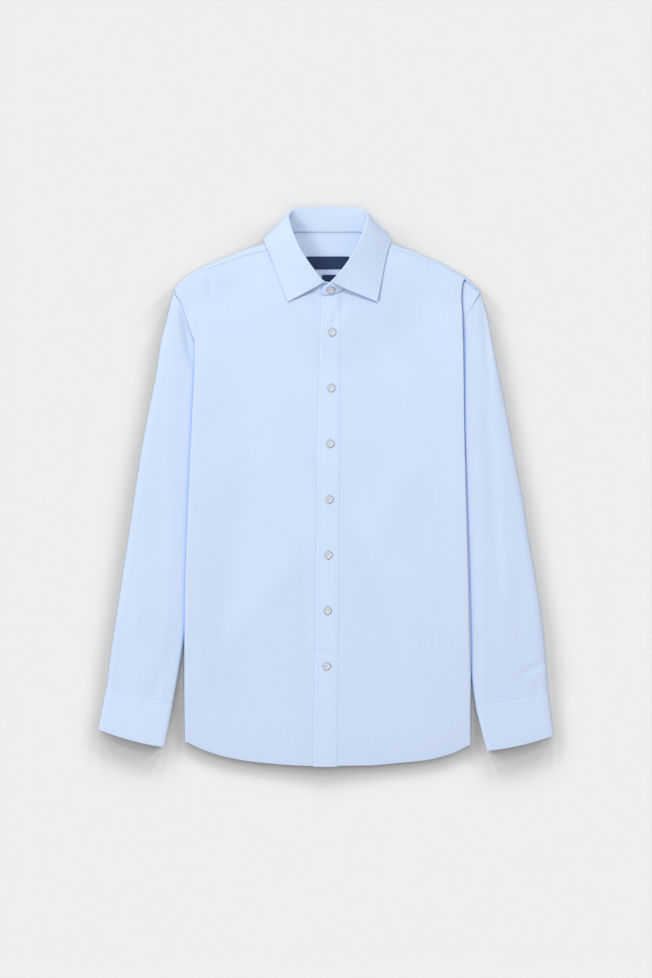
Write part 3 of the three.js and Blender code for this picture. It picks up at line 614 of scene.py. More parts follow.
def front_top(side, column):
    neck_end = np.array(float(side["neck_end"]))
    end_x, end_y = shoulder_seam(side, neck_end, -UNDER_YOKE["reach"])
    near = side["sign"] * (front_inner(side, PLACKET_TOP_Y) - NECK_CENTRE_X)
    far = side["sign"] * (end_x - NECK_CENTRE_X)
    share = neck_share(column)
    out = mix(near, far, share)
    neck_x = NECK_CENTRE_X + side["sign"] * out
    neck_y = neckline_y(np.abs(out))
    neck_y = neck_y + (end_y - neckline_y(far)) * smooth(0.7, 1, share)
    along = np.clip((column - NECK_COLUMNS) / SHOULDER_COLUMNS, 0, 1)
    seam_x, seam_y = shoulder_seam(side, shoulder_out(side, along), -UNDER_YOKE["reach"])
    on_neck = column < NECK_COLUMNS
    return np.where(on_neck, neck_x, seam_x), np.where(on_neck, neck_y, seam_y)


def fold_radius(side, y):
    edge = body_edge(side, y)
    top = front_height(side["sign"] * edge, y)
    deep = (top - flap_height(side, edge - 4, y)) / 2
    if side is LEFT:
        return deep
    return mix(deep, TURNED_RADIUS, smooth(side["cross"] - 10, side["cross"] + 12, y))


def lowest(side):
    """Where the hem meets the fold at the side."""
    return hem_y(side["sign"] * (side["fold"](SIDE_FOOT_Y) - 3.4))


def front_side(side, v):
    """Where the front panel's top surface ends, just before it turns under."""
    y = mix(lowest(side), side["front_top"], v)
    radius = fold_radius(side, y)
    return side["sign"] * (body_edge(side, y) - radius - CLOTH / 2), y, radius


def past_side(side, v, knots):
    """Past the side: round the fold and in along the flap, or down the step above it."""
    x, y, radius = (value[:, None] for value in front_side(side, v))
    at = knots[None, :]
    out = np.abs(x)
    top = front_height(x, y)
    angle = np.radians(90 - 180 / FOLD_KNOTS * np.minimum(at, FOLD_KNOTS))
    fold_out = out + radius * np.cos(angle)
    fold_z = top - radius + radius * np.sin(angle)
    end = np.minimum(flap_end(side, y), out - 0.8)
    drop = np.clip(sleeve_inside(side, y) - 2, mix(end, out, 0.25), mix(end, out, 0.75))
    stops = [out, mix(out, drop, 0.5), drop, mix(drop, end, 0.55), end]
    flap_out = out
    for number, (near, far) in enumerate(zip(stops, stops[1:])):
        flap_out = flap_out + (far - near) * np.clip(at - FOLD_KNOTS - number, 0, 1)
    low = top - 2 * radius
    lying = mix(low, flap_height(side, flap_out, y), smooth(FOLD_KNOTS, FOLD_KNOTS + 1, at))
    flap_z = np.where(y < side["cross"] - FLAP_STOPS_BELOW_CROSS, lying, low)
    on_fold = at <= FOLD_KNOTS
    under = grid_of(np.where(on_fold, fold_out, flap_out), y, np.where(on_fold, fold_z, flap_z))
    if side is RIGHT:
        return under
    step = smooth(side["cross"], side["cross"] + STEP_BLEND, y)[..., None]
    return mix(under, down_step(side, at, out, y, top), step)


def down_step(side, at, out, y, top):
    """Above the left side's fold: down a step at its edge, and over to the armhole seam."""
    share = (y - side["cross"]) / (side["front_top"] - side["cross"])
    seam_y = mix(side["cross"], STEP_TOP_Y, share)
    seam_out = side["armhole"](seam_y) - SEAM_GAP
    t = step_share(at)
    along = mix(side["seam_end"] + 3, SHOULDER_POINT_X - 1, t)
    yoke_x, yoke_y = shoulder_seam(side, along, -UNDER_YOKE["reach"])
    bow = np.clip(share, 0, 1) ** 3 * (1 - smooth(0.7, 1, t))
    bow = np.where(at > FOLD_KNOTS, bow, 0)
    away = step_away(at)
    end_height = sleeve_top(side, seam_out, seam_y) + 0.45
    return grid_of(
        mix(mix(out + away, seam_out, t), yoke_x, bow),
        mix(mix(y - away / 3, seam_y, t), yoke_y, bow),
        mix(top - step_fall(at), end_height, t),
    )


def front_grid(side, v, columns, knots):
    side_x, side_y, _ = (value[:, None] for value in front_side(side, v))
    low_x0, low_y0, _ = front_side(side, np.array([0.0]))
    top_x0, top_y0, _ = front_side(side, np.array([1.0]))
    corner_x, corner_y = front_top(side, np.array([0.0]))
    hem_x = front_inner(side, hem_y(0.0))
    v = v[:, None]
    c = columns[None, :]
    middle_y = mix(hem_y(hem_x), corner_y, v)
    middle_x = front_inner(side, middle_y)
    u = np.where(
        c < NECK_COLUMNS, NECK_SHARE * neck_share(c),
        mix(NECK_SHARE, 1, (c - NECK_COLUMNS) / SHOULDER_COLUMNS),
    )
    top_x, top_y = front_top(side, c)
    low_x = mix(hem_x, low_x0, u)
    low_y = mix(hem_y(low_x), low_y0, smooth(LAST_COLUMN - 0.25, LAST_COLUMN, c))
    fill_x = mix(mix(hem_x, low_x0, u), mix(corner_x, top_x0, u), v)
    fill_y = mix(mix(hem_y(hem_x), low_y0, u), mix(corner_y, top_y0, u), v)
    x = mix(low_x, top_x, v) + mix(middle_x, side_x, u) - fill_x
    y = mix(low_y, top_y, v) + mix(middle_y, side_y, u) - fill_y
    flat = grid_of(x, y, front_height(x, y))
    turned = past_side(side, v[:, 0], knots)
    turned[..., 0] *= side["sign"]
    parts = [flat, turned]
    if side is RIGHT:
        parts.insert(0, button_stand(middle_y, corner_y, v))
    return np.concatenate(parts, 1)


def button_stand(y, top_y, v):
    """The part of the right front that lies under the placket."""
    shares = np.linspace(0, 1, STAND_COLUMNS)[None, :]
    x = mix(placket_left(y) - UNDER_BAND["left"], placket_right(y) + UNDER_BAND["right"], shares)
    at_neck = (neckline_y(np.abs(x - NECK_CENTRE_X)) - top_y) * v ** 8
    at_hem = (hem_y(x) - hem_y(front_inner(RIGHT, hem_y(0.0)))) * (1 - v) ** 8
    under = y + at_neck + at_hem
    return grid_of(x, under, front_height(x, under) - UNDER_PLACKET)


STAND_COLUMNS = 7
NECKLINE_POINTS = 33
SEAM_POINTS = 74


def front_panel(side, material):
    low, top = lowest(side), side["front_top"]
    levels = spaced(low, (low + 14, 14), (top - 16, 224), (top - 4, 8), (top, 8))
    v = (levels - low) / (top - low)
    across = np.linspace(0, 1, NECKLINE_POINTS + 1)[:-1]
    near_neck = np.arcsin(across) * 2 / math.pi * NECK_COLUMNS
    columns = np.append(near_neck, np.linspace(NECK_COLUMNS, LAST_COLUMN, SEAM_POINTS))
    knots = spaced(0, (FOLD_KNOTS, 12), (LAST_KNOT, 16))[1:]
    grid = front_grid(side, v, columns, knots)
    first = STAND_COLUMNS if side is RIGHT else 0
    seam_from = first + len(near_neck)
    seam_to = first + len(columns) + (len(knots) - 2 if side is LEFT else 0)
    tuck_under_yoke(grid, seam_from, seam_to)
    grid = turn_hem(grid)
    return panel(f"front_{side['name']}", "cloth", grid, CLOTH, material, "cloth")


def tuck_under_yoke(grid, start, end):
    """Lowers the top edge between two columns, where it goes under the yoke."""
    part = grid[:, start:end]
    from_top = walked(part[::-1])[::-1]
    reach = UNDER_YOKE["reach"]
    under = 1 - smooth(reach - 0.8, reach + 0.6, from_top)
    inner = smooth(0, 3, np.arange(end - start))[None, :]
    part[..., 2] -= UNDER_YOKE["drop"] * under * inner


def turn_hem(grid):
    """Adds the turned hem to a front panel, with the ripple that its seam draws up."""
    x, y = grid[..., 0], grid[..., 1]
    from_hem = y - hem_y(x)
    turned = 1 - smooth(HEM_WIDTH - 0.8, HEM_WIDTH + 0.6, from_hem)
    ripple = 0.12 * np.sin(x / 4.1 + 1.3 * np.sin(x / 23)) * bell(from_hem - HEM_WIDTH, 6)
    made = grid.copy()
    made[..., 2] += 0.3 * turned + ripple
    return made


# Share of a band's width that its rounded edge takes up
BAND_EDGE = 0.07
STITCH_PUFF = {"inset": 2.6, "width": 1.5}
STITCH_GROOVE = 0.9


def stitched_puff(from_edge, puff, groove):
    """How a topstitched edge swells between the edge and the stitches, and dips at them."""
    swell = puff * bell(from_edge - STITCH_PUFF["inset"], STITCH_PUFF["width"])
    return swell - groove * bell(from_edge - TOPSTITCH_INSET, STITCH_GROOVE)


def placket_band(material):
    low = hem_y(0.0) - 1.4
    levels = spaced(
        low, (low + 12, 10), (PLACKET_TOP_Y - 2, 329), (PLACKET_TOP_Y + UNDER_COLLAR, 5),
    )[:, None]
    edge = BAND_EDGE * (1 - np.cos(np.linspace(0, math.pi / 2, 7)))
    middle = np.linspace(BAND_EDGE, 1 - BAND_EDGE, 33)
    across = np.concatenate([edge[:-1], middle, 1 - edge[::-1][1:]])[None, :]
    x = mix(placket_right(levels), placket_left(levels), across)
    width = placket_left(levels) - placket_right(levels)
    from_edge = np.minimum(across, 1 - across) * width
    rounded = round_off(from_edge, 1.2)
    stitched = np.where(across > 0.5, 0.2 * (1 - smooth(0.5, 4.5, from_edge)), 0)
    puff = stitched_puff(from_edge, 0.08, 0.1)
    resting = np.where(across > 0.5, 0, 0.62 * (1 - smooth(0, 2.4, from_edge)))
    lift = PLACKET_LIFT - 0.25 * (1 - rounded) - stitched - resting + puff
    grid = grid_of(x, levels, front_height(x, levels) + lift)
    thickness = BAND_CLOTH * mix(0.45, 1, rounded)
    return panel("placket", "band", grid, thickness, material, "fused_cloth")


def back_panel(material):
    levels = spaced(-400, (-390, 1), (FLAP_TOP_Y, 89), (100, 1), (YOKE_SEAM_Y - 0.3, 59))
    y = levels[:, None]
    inset = np.where(y < UNDERARM_Y, 2 * SEAM_GAP, 0)
    shares = np.linspace(0, 1, 61)[None, :]
    x = mix(-(flap_end(RIGHT, y) - inset), flap_end(LEFT, y) - inset, shares)
    y = np.where(y == levels[0], hem_y(x) + 3, y)
    return panel("back", "cloth", grid_of(x, y, LYING), CLOTH, material, "cloth")


# Collar, by station from 0 at the wearer's right front to 18 at the left front
COLLAR_BACK = len(COLLAR) - 1
COLLAR_END = 2 * COLLAR_BACK
ROLL_RADIUS = 1.3
ROLL_POINTS = 12
ROLL_TURN = 150
LEAF_LEAVES_ROLL = {"out": 4, "down": 7}
LEAF_HANG_SHARE = 0.4
LEAF_END = 0.12
STAND_LIFT = 0.1
TAB_ROUNDING = 3.6
STAND_BOW = 3.8
# Stations between which the stand's bow ends, starts again, and ends at the tab
STAND_BOWS = {"until": (1.5, 5), "again": (13, 16), "tab": (16.8, 17.8)}


def collar_curves():
    rows = []
    for station in range(COLLAR_END + 1):
        on_left = station > COLLAR_BACK
        row = COLLAR[COLLAR_END - station if on_left else station]
        sign = 1 if on_left else -1
        lap = row["lap"] if on_left else 0
        edge = row["edge_left"] if on_left else row["edge_right"]
        rows.append({
            "station": station,
            "neck_x": NECK_CENTRE_X + sign * row["neck_out"],
            "neck_y": row["neck_y"],
            "neck_z": row["neck_z"] + lap,
            "roll_x": NECK_CENTRE_X + sign * row["roll_out"],
            "roll_y": row["roll_y"],
            "roll_z": row["roll_z"] + lap,
            "edge_x": NECK_CENTRE_X + sign * edge,
            "edge_y": row["edge_y"],
            "edge_z": row["edge_z_left" if on_left else "edge_z_right"],
            "hang": row["hang"],
        })
    for station, end, near in ((-1, UNDER_END, rows[0]), (COLLAR_END + 1, OVER_END, rows[-1])):
        row = dict(near, station=station)
        for part in ("neck", "roll"):
            for axis, value in zip("xyz", end[part]):
                row[f"{part}_{axis}"] = value
        rows.append(row)
    rows.sort(key=lambda row: row["station"])
    columns = {name: np.array([row[name] for row in rows], float) for name in rows[0]}
    return {name: through(columns, "station", name) for name in columns if name != "station"}


collar = collar_curves()


def collar_points(station):
    station = np.asarray(station, float)
    points = {
        part: np.stack([collar[f"{part}_{axis}"](station) for axis in "xyz"], -1)
        for part in ("neck", "roll", "edge")
    }
    points["up"] = unit(points["roll"] - points["neck"])
    points["hang"] = collar["hang"](station)
    return points


def collar_stand(material):
    last = COLLAR_END + 1 - 0.45 * (1 - np.sin(np.linspace(0, math.pi / 2, 16)))
    station = np.concatenate([np.linspace(-1, last[0], 275)[:-1], last])
    at = collar_points(station)
    foot = at["neck"] + at["up"] * STAND_LIFT
    head = at["roll"]
    middle = mix(foot, head, 0.5)
    from_tab_end = np.linalg.norm(middle - middle[-1], axis=1)
    height = np.maximum(round_off(from_tab_end, TAB_ROUNDING), 0.08)[:, None, None]
    share = np.linspace(0, 1, 23)[None, :, None]
    grid = middle[:, None] + (head - foot)[:, None] * (share - 0.5) * height
    until = 1 - smooth(*STAND_BOWS["until"], station)
    bow = np.maximum(until, smooth(*STAND_BOWS["again"], station))
    bow = STAND_BOW * bow * (1 - smooth(*STAND_BOWS["tab"], station))
    grid[..., 2] -= bow[:, None] * 4 * (share * (1 - share))[..., 0]
    return panel("collar_stand", "band", grid, COLLAR_CLOTH, material, "fused_cloth")


def leaf_grid(station, arc_count, fall_count):
    at = collar_points(station)
    up, roll, edge = at["up"], at["roll"], at["edge"]
    fall = edge - roll
    away = unit(fall - up * np.sum(fall * up, -1, keepdims=True))
    angle = np.radians(np.linspace(0, ROLL_TURN, arc_count))[None, :, None]
    arc = (roll[:, None] + away[:, None] * ROLL_RADIUS * (1 - np.cos(angle))
           + up[:, None] * ROLL_RADIUS * np.sin(angle))
    start = arc[:, -1]
    leaving = start + away * LEAF_LEAVES_ROLL["out"] - up * LEAF_LEAVES_ROLL["down"]
    hung = edge - fall * LEAF_HANG_SHARE
    hung[:, 2] = mix(edge[:, 2], roll[:, 2], at["hang"])
    t = np.linspace(0, 1, fall_count)[None, 1:, None]
    t = mix(t, np.sin(t * math.pi / 2), 0.5)
    drop = ((1 - t) ** 3 * start[:, None] + 3 * t * (1 - t) ** 2 * leaving[:, None]
            + 3 * t * t * (1 - t) * hung[:, None] + t ** 3 * edge[:, None])
    return np.concatenate([arc, drop], 1)


def collar_leaf(material):
    front = LEAF_END * (1 - np.cos(np.linspace(0, math.pi / 2, 6)))[:-1]
    between = np.linspace(LEAF_END, COLLAR_END - LEAF_END, 265)
    station = np.concatenate([front, between, COLLAR_END - front[::-1]])
    grid = leaf_grid(station, ROLL_POINTS, 46)
    from_front = walked(grid)
    from_front = np.minimum(from_front, from_front[-1] - from_front)
    from_edge = np.minimum(walked(grid[:, ::-1], 1)[:, ::-1], from_front)
    normal = grid_normals(grid)
    outward = np.where(normal[..., 2:] < 0, -1, 1) * normal
    puff = stitched_puff(from_edge, 0.15, 0.2)
    grid[:, ROLL_POINTS:] += (outward * puff[..., None])[:, ROLL_POINTS:]
    thickness = mix(LEAF_EDGE_CLOTH, COLLAR_CLOTH, round_off(from_edge, 2))
    return panel("collar_leaf", "cloth", grid, thickness, material, "fused_cloth")


# Yoke: flat under the neck, rolled over each shoulder to the forward seam
NECK_ROLL = {"radius": 7, "radius_behind": 16, "station": 4.6}
TIP_RADIUS = 5.4


def yoke_side(side, shoulder_count, neck_count):
    """Half of the yoke: a row for each point along the shoulder and then the neck."""
    past_end = np.linspace(SHOULDER_POINT_X, side["seam_end"], 4 if side is RIGHT else 14)
    along = np.linspace(1, 0, shoulder_count)
    outs = np.append(past_end[:-1], shoulder_out(side, along))
    at = shoulder_frame(side, outs)
    seam_x, seam_y = shoulder_seam(side, outs, 0)
    radius = (front_height(seam_x, seam_y) - LYING) / 2
    on_arc = at["inset"] < radius
    turn = np.where(
        on_arc, math.pi - np.arcsin(np.clip(1 - at["inset"] / radius, -1, 1)), math.pi,
    )
    rows = {
        "foot_x": at["out"] - at["nx"] * radius, "foot_y": at["y"] - at["ny"] * radius,
        "nx": at["nx"], "ny": at["ny"], "radius": radius, "turn": turn,
        "strip": np.where(on_arc, 0, at["inset"] - radius),
    }
    t = np.linspace(0, 1, neck_count)[1:]
    if side is LEFT:
        t = t[:-1]
    neck = collar_points(mix(NECK_ROLL["station"], COLLAR_BACK, t))["neck"]
    last = {name: column[-1] for name, column in rows.items()}
    neck_radius = mix(last["radius"], NECK_ROLL["radius"], smooth(0, 0.3, t))
    neck_radius = mix(neck_radius, NECK_ROLL["radius_behind"], smooth(0.5, 0.9, t))
    nx = mix(last["nx"], 0, smooth(0, 0.6, t))
    ny = mix(last["ny"], 1, smooth(0, 0.6, t))
    length = np.hypot(nx, ny)
    nx, ny = nx / length, ny / length
    neck_turn = np.arccos(np.clip(1 - (neck[:, 2] - LYING) / neck_radius, -1, 1))
    reach = neck_radius * np.sin(neck_turn)
    out = -neck[:, 0] if side is RIGHT else 2 * NECK_CENTRE_X - neck[:, 0]
    more = {
        "foot_x": out - nx * reach, "foot_y": neck[:, 1] - ny * reach, "nx": nx, "ny": ny,
        "radius": neck_radius, "turn": neck_turn,
        "strip": last["strip"] * (1 - smooth(0, 0.08, t)),
    }
    whole = {name: np.concatenate([rows[name], more[name]]) for name in rows}
    tip = shoulder_frame(side, np.array(float(SHOULDER_POINT_X)))
    armhole_out = side["armhole"](YOKE_SEAM_Y) - SEAM_GAP / 2
    scale = min(1, float(armhole_out / (tip["out"] - tip["nx"] * TIP_RADIUS)))
    foot_x, foot_y = whole["foot_x"][:, None], whole["foot_y"][:, None]
    radius, turn = whole["radius"][:, None], whole["turn"][:, None]
    share = np.linspace(0, 1, 26)[None, :]
    flat = grid_of(mix(foot_x * scale, foot_x, share), mix(YOKE_SEAM_Y, foot_y, share), LYING)
    share = np.linspace(0, 1, 25)[None, 1:]
    length = radius * turn + whole["strip"][:, None]
    angle = np.minimum(share * length / radius, turn)
    straight = np.maximum(0, share * length - radius * turn)
    reach = radius * np.sin(angle) - straight
    rolled = grid_of(
        foot_x + whole["nx"][:, None] * reach, foot_y + whole["ny"][:, None] * reach,
        LYING + radius * (1 - np.cos(angle)),
    )
    grid = np.concatenate([flat, rolled], 1)
    grid[..., 0] *= side["sign"]
    return grid if side is RIGHT else grid[::-1]


def yoke(material):
    grid = np.concatenate([yoke_side(side, 70, 46) for side in (RIGHT, LEFT)])
    return panel("yoke", "cloth", grid, CLOTH, material, "cloth")


# Sleeves and cuffs: flattened tubes, open at both ends
SLEEVE_ROUNDING = {"outer_top": 9, "inner_top": 5, "outer_low": 5, "inner_low": 4}
SLEEVE_MIDDLE = 0.47
CUFF_ROUNDING = {"top": 7, "low": 5}
CUFF_BELLY = 3
CUFF_DEPTH = 66
CUFF_SINK = 0.85
CUFF_FALL = 1.2
CUFF_CORNER = 4


def seam_height(side, y):
    beside = side["beside"](y)
    return mix(beside, SHOULDER_SEAM_HEIGHT, smooth(side["cross"] - 12, YOKE_SEAM_Y, y))


def sleeve_top(side, out, y):
    """Height of the sleeve's upper cloth, lowest where it goes under the body."""
    edge = body_edge(side, y)
    if side is LEFT:
        edge = np.where(y > side["cross"], side["armhole"](y), edge)
    base = seam_height(side, y)
    in_body = smooth(1, -UNDER_BODY["reach"], out - edge)
    in_body = in_body * smooth(side["cross"], side["cross"] - TUCK_FADES_BELOW_CROSS, y)
    base = mix(base, np.minimum(base, TUCKED_HEIGHT), in_body)
    to_cuff = smooth(CUFF_TOP_Y, CUFF_TOP_Y + 75, y)
    crown = mix(CUFF_SEAM_HEIGHT, np.maximum(SLEEVE_HEIGHT, base), to_cuff)
    visible = np.where(y < CUFF_TOP_Y, 1, smooth(0, side["valley_width"], out - edge))
    return mix(np.minimum(base, crown), crown, visible)


def sleeve_points(side, s, w, on_top):
    """Points of the sleeve at s along it and w across it, from its outer to its inner edge."""
    outer_y = mix(SLEEVE_HEAD_Y, side["seam_outer"][1] - UNDER_CUFF["reach"], s)
    outer_x = side["outside"](outer_y)
    inner_y = mix(UNDERARM_Y - 1, side["seam_inner"][1] - UNDER_CUFF["reach"], s)
    in_cuff = smooth(1.1 * UNDER_CUFF["reach"], 0.6 * UNDER_CUFF["reach"],
                     outer_y - side["seam_outer"][1] + UNDER_CUFF["reach"])
    w = mix(w, 0.5, UNDER_CUFF["narrower"] * 2 * in_cuff)
    inner_x = sleeve_inside(side, inner_y)
    y = mix(outer_y, inner_y, w)
    straight = mix(outer_x, inner_x, w)
    chord = mix(side["outside"](SLEEVE_HEAD_Y), side["underarm"], w)
    bow = side["armhole"](mix(SLEEVE_HEAD_Y, UNDERARM_Y, w)) - chord
    out = straight + (bow + 2 * SEAM_GAP) * (1 - smooth(0, 0.3, s))
    reach = UNDER_BODY["reach_at_step" if side is LEFT else "reach"]
    out = out - reach * (1 - smooth(0, 0.06, s)) * smooth(0, 0.12, w)
    across = outer_x - inner_x
    from_outer = np.minimum(w * across, np.maximum(side["outside"](y) - out, 0) + w * 40)
    from_inner = (1 - w) * across
    folds = [fold for fold in SLEEVE_FOLDS if fold["side"] == side["sign"]]
    full = sleeve_top(side, out, y) + fold_height(folds, side["sign"] * out, y)
    past_seam = smooth(0.6, -1.6, out - side["armhole"](y)) * smooth(0, 0.05, w)
    full = full - UNDER_BODY["drop"] * past_seam * smooth(UNDERARM_Y, UNDERARM_Y + 30, y)
    full = full - UNDER_CUFF["drop"] * in_cuff
    lying = LYING + UNDER_CUFF["rise"] * in_cuff
    middle = mix(lying, full, SLEEVE_MIDDLE)

    def rounded(level):
        outer = round_off(from_outer, SLEEVE_ROUNDING[f"outer_{level}"])
        return np.minimum(outer, round_off(from_inner, SLEEVE_ROUNDING[f"inner_{level}"]))

    top = mix(middle, full, rounded("top"))
    low = mix(middle, lying, rounded("low"))
    return grid_of(side["sign"] * out, y, np.where(on_top, top, low))


def ring_shares():
    """Shares across a flattened tube, round it: over the top and back underneath."""
    edge = 0.03 * (1 - np.cos(np.linspace(0, math.pi / 2, 7)))
    top = np.concatenate([edge[:-1], np.linspace(0.03, 0.94, 62)[:-1],
                          1 - 0.06 * (1 - np.sin(np.linspace(0, math.pi / 2, 8)))])
    low = np.concatenate([[0.99, 0.97, 0.94], np.linspace(0.9, 0.1, 18), [0.05, 0.025, 0.008]])
    shares = np.concatenate([top, low])
    return shares, np.arange(len(shares)) < len(top)


def sleeve(side, material):
    shares, on_top = ring_shares()
    t = np.linspace(0, 1, 190)
    s = mix(t, smooth(0, 1, t), 0.3)[:, None]
    grid = sleeve_points(side, s, shares[None, :], on_top[None, :])
    node = f"sleeve_{side['name']}"
    return panel(node, "cloth", grid, CLOTH, material, "cloth", ring=True)


def cuff_points(side, q, w, on_top):
    """Points of the cuff at q down it and w across it, from its outer to its inner edge."""
    def at_corner(first, second, axis):
        return mix(side[first][axis], side[second][axis], w)

    near = np.minimum(w, 1 - w) * (side["seam_outer"][0] - side["seam_inner"][0])
    cut_off = CUFF_CORNER * (1 - round_off(near, CUFF_CORNER))
    down = q * (1 - cut_off / CUFF_DEPTH)
    out, y = (
        mix(at_corner("seam_outer", "seam_inner", axis), at_corner("hem_outer", "hem_inner", axis),
            down)
        for axis in (0, 1)
    )
    belly = CUFF_BELLY * q * 4 * w * (1 - w)
    from_seam = q * CUFF_DEPTH
    from_hem = from_seam - CUFF_DEPTH
    pucker = 0.3 * np.sin(w * 61 + 2 * np.sin(w * 17)) * bell(from_seam - 3, 3)
    groove = 0.15 * (bell(from_seam - TOPSTITCH_INSET, STITCH_GROOVE)
                     + bell(from_hem + TOPSTITCH_INSET, STITCH_GROOVE))
    sunk = CUFF_SINK * (1 - smooth(0, 4, from_seam))
    crown = CUFF_HEIGHT - CUFF_FALL * q + 0.5 * np.sin(w * math.pi)
    full = crown + pucker - groove - sunk
    middle = (CUFF_LYING + full) / 2
    rounding = np.where(on_top, CUFF_ROUNDING["top"], CUFF_ROUNDING["low"])
    z = mix(middle, np.where(on_top, full, CUFF_LYING), round_off(near, rounding))
    return grid_of(side["sign"] * out, y - belly, z)


def cuff(side, material):
    shares, on_top = ring_shares()
    q = spaced(0, (0.12, 13), (1, 57))[:, None]
    grid = cuff_points(side, q, shares[None, :], on_top[None, :])
    edge = np.minimum(round_off(q * CUFF_DEPTH, 2), round_off((1 - q) * CUFF_DEPTH, 1.5))
    thickness = CUFF_CLOTH * mix(0.4, 1, edge)
    node = f"cuff_{side['name']}"
    return panel(node, "band", grid, thickness, material, "fused_cloth", ring=True)


# Labels, flat on the inside of the yoke
def label(node, width, height, x, y, material):
    across = np.linspace(-width / 2, width / 2, 49)[None, :]
    up = np.linspace(-height / 2, height / 2, 21)[:, None]
    curl = 0.25 * np.sin(across / 9 + 0.4) * np.sin(up / 6 + 0.8)
    grid = grid_of(x + across, y + up, LABEL_LIFT + LABEL_CLOTH / 2 + curl)
    return panel(node, "tape", grid, LABEL_CLOTH, material, "label_tape")


# Sewing. Each stitch is a small ridge that dips at both ends.
STITCH_PITCH = 2.5
STITCH_SIZE = (1.9, 0.4, 0.24)
STITCH_ALONG = (-0.5, -0.3, 0.3, 0.5)
STITCH_SWELL = (0.45, 1, 1, 0.45)
STITCH_DIP = 0.12


def edge_first(grid, edge):
    """The grid turned so that its first row is the edge named."""
    if edge == "bottom":
        return grid
    if edge == "top":
        return grid[::-1]
    if edge == "start":
        return grid.transpose(1, 0, 2)
    return grid.transpose(1, 0, 2)[::-1]


def inset_line(grid, edge, inset, thickness, trim=0.0):
    """Points and normals of a line on the cloth's upper face, at a distance from an edge."""
    normal = edge_first(grid_normals(grid), edge)
    turned = edge_first(grid, edge)
    far = walked(turned)
    row = np.clip((far <= inset).sum(0) - 1, 0, len(far) - 2)
    j = np.arange(turned.shape[1])
    t = ((inset - far[row, j]) / (far[row + 1, j] - far[row, j]))[:, None]
    points = mix(turned[row, j], turned[row + 1, j], t)
    up = unit(mix(normal[row, j], normal[row + 1, j], t))
    up = up * np.where(up[:, 2:] < 0, -1, 1)
    points = points + up * thickness / 2
    along = walked(points)
    kept = (along >= trim) & (along <= along[-1] - trim)
    return points[kept], up[kept]


def stitches_on(points, normals):
    """Middles, directions and normals of the stitches along a line."""
    line = walked(points)
    at = np.arange(STITCH_PITCH / 2, line[-1], STITCH_PITCH)

    def along(values, where):
        return np.stack([np.interp(where, line, values[:, axis]) for axis in range(3)], 1)

    direction = unit(along(points, at + 0.5) - along(points, at - 0.5))
    return along(points, at), direction, unit(along(normals, at))


def sew(name, rows, material, slot, size=STITCH_SIZE):
    """One mesh of the stitches of several rows, each as (middles, directions, normals)."""
    middle, direction, normal = (np.concatenate(parts) for parts in zip(*rows))
    side = np.cross(normal, direction)
    length, width, height = size
    rings = []
    for along, swell in zip(STITCH_ALONG, STITCH_SWELL):
        for across, up in ((-0.5, -0.1), (-0.25, swell), (0.25, swell), (0.5, -0.1)):
            top = up * height if up > 0 else up
            rings.append(middle + direction * along * length + side * across * width * swell
                         + normal * (top if swell == 1 else top - STITCH_DIP))
    points = np.stack(rings, 1).reshape(-1, 3)
    faces = []
    for ring in range(3):
        for corner in range(4):
            a, b = ring * 4 + corner, ring * 4 + (corner + 1) % 4
            faces.append((a, b, b + 4, a + 4))
    faces += [(3, 2, 1, 0), (12, 13, 14, 15)]
    starts = np.arange(len(middle))[:, None, None] * len(rings)
    faces = (np.array(faces)[None] + starts).reshape(-1, 4)
    return place(make_mesh(name, points, faces), material, slot)


def edge_stitches(grid, edge, inset, thickness, trim=0.0):
    return stitches_on(*inset_line(grid, edge, inset, thickness, trim))


# Buttons and their holes. A frame is a point on the cloth with the cloth's own directions.
BUTTON_CLEAR = 0.45
HOLE_LENGTH = 15
HOLE_PITCH = 0.5
HOLE_SIDE = 0.75
HOLE_BAR = 0.3
HOLE_STITCH = (1.15, 0.4, 0.3)
EYE_OFFSET = 1.2
EYE_RADIUS = 0.62
EYE_THREAD = (3.4, 0.7, 0.35)
EYE_THREAD_LIFT = 1.45
BUTTON_PROFILE = [
    (0, 0), (3.2, 0), (4.9, 0.15), (5.5, 0.5), (BUTTON_RADIUS, 0.95), (5.6, 1.4), (5.3, 1.75),
    (4.8, 1.95), (4.3, 1.9), (3.9, 1.65), (3.4, 1.45), (1.7, 1.38), (0, 1.36),
]
RIM_RADIUS = 3.9
BUTTON_STEPS = 40
EYE_SIDES = 14
EYE_CUT_DEPTH = 6
SHARP_ANGLE = 50


def front_button_frame(number):
    t = (number - 1) / (FRONT_BUTTONS - 1)
    x = mix(TOP_BUTTON[0], LAST_BUTTON[0], t)
    y = mix(TOP_BUTTON[1], LAST_BUTTON[1], t)
    reach = BUTTON_RADIUS
    across = front_height(x + reach, y) - front_height(x - reach, y)
    up = front_height(x, y + reach) - front_height(x, y - reach)
    normal = unit(np.array([-float(across), -float(up), 2 * reach]))
    point = np.array([x, y, float(front_height(x, y)) + PLACKET_LIFT])
    return frame_at(point + normal * BAND_CLOTH / 2, normal, np.array([0.0, 1, 0]))


def collar_button_frame():
    at = collar_points(COLLAR_END + 0.3)
    along = unit(collar_points(COLLAR_END)["neck"] - collar_points(COLLAR_END + 0.6)["neck"])
    normal = unit(np.cross(along, at["up"]))
    share = (COLLAR_BUTTON[1] - at["neck"][1]) / (at["roll"][1] - at["neck"][1])
    point = mix(at["neck"], at["roll"], share)
    point[0] = COLLAR_BUTTON[0]
    return frame_at(point + normal * COLLAR_CLOTH / 2, normal, at["up"])


def frame_at(point, normal, up):
    side = unit(np.cross(up, normal))
    return {"point": point, "side": side, "up": np.cross(normal, side), "normal": normal}


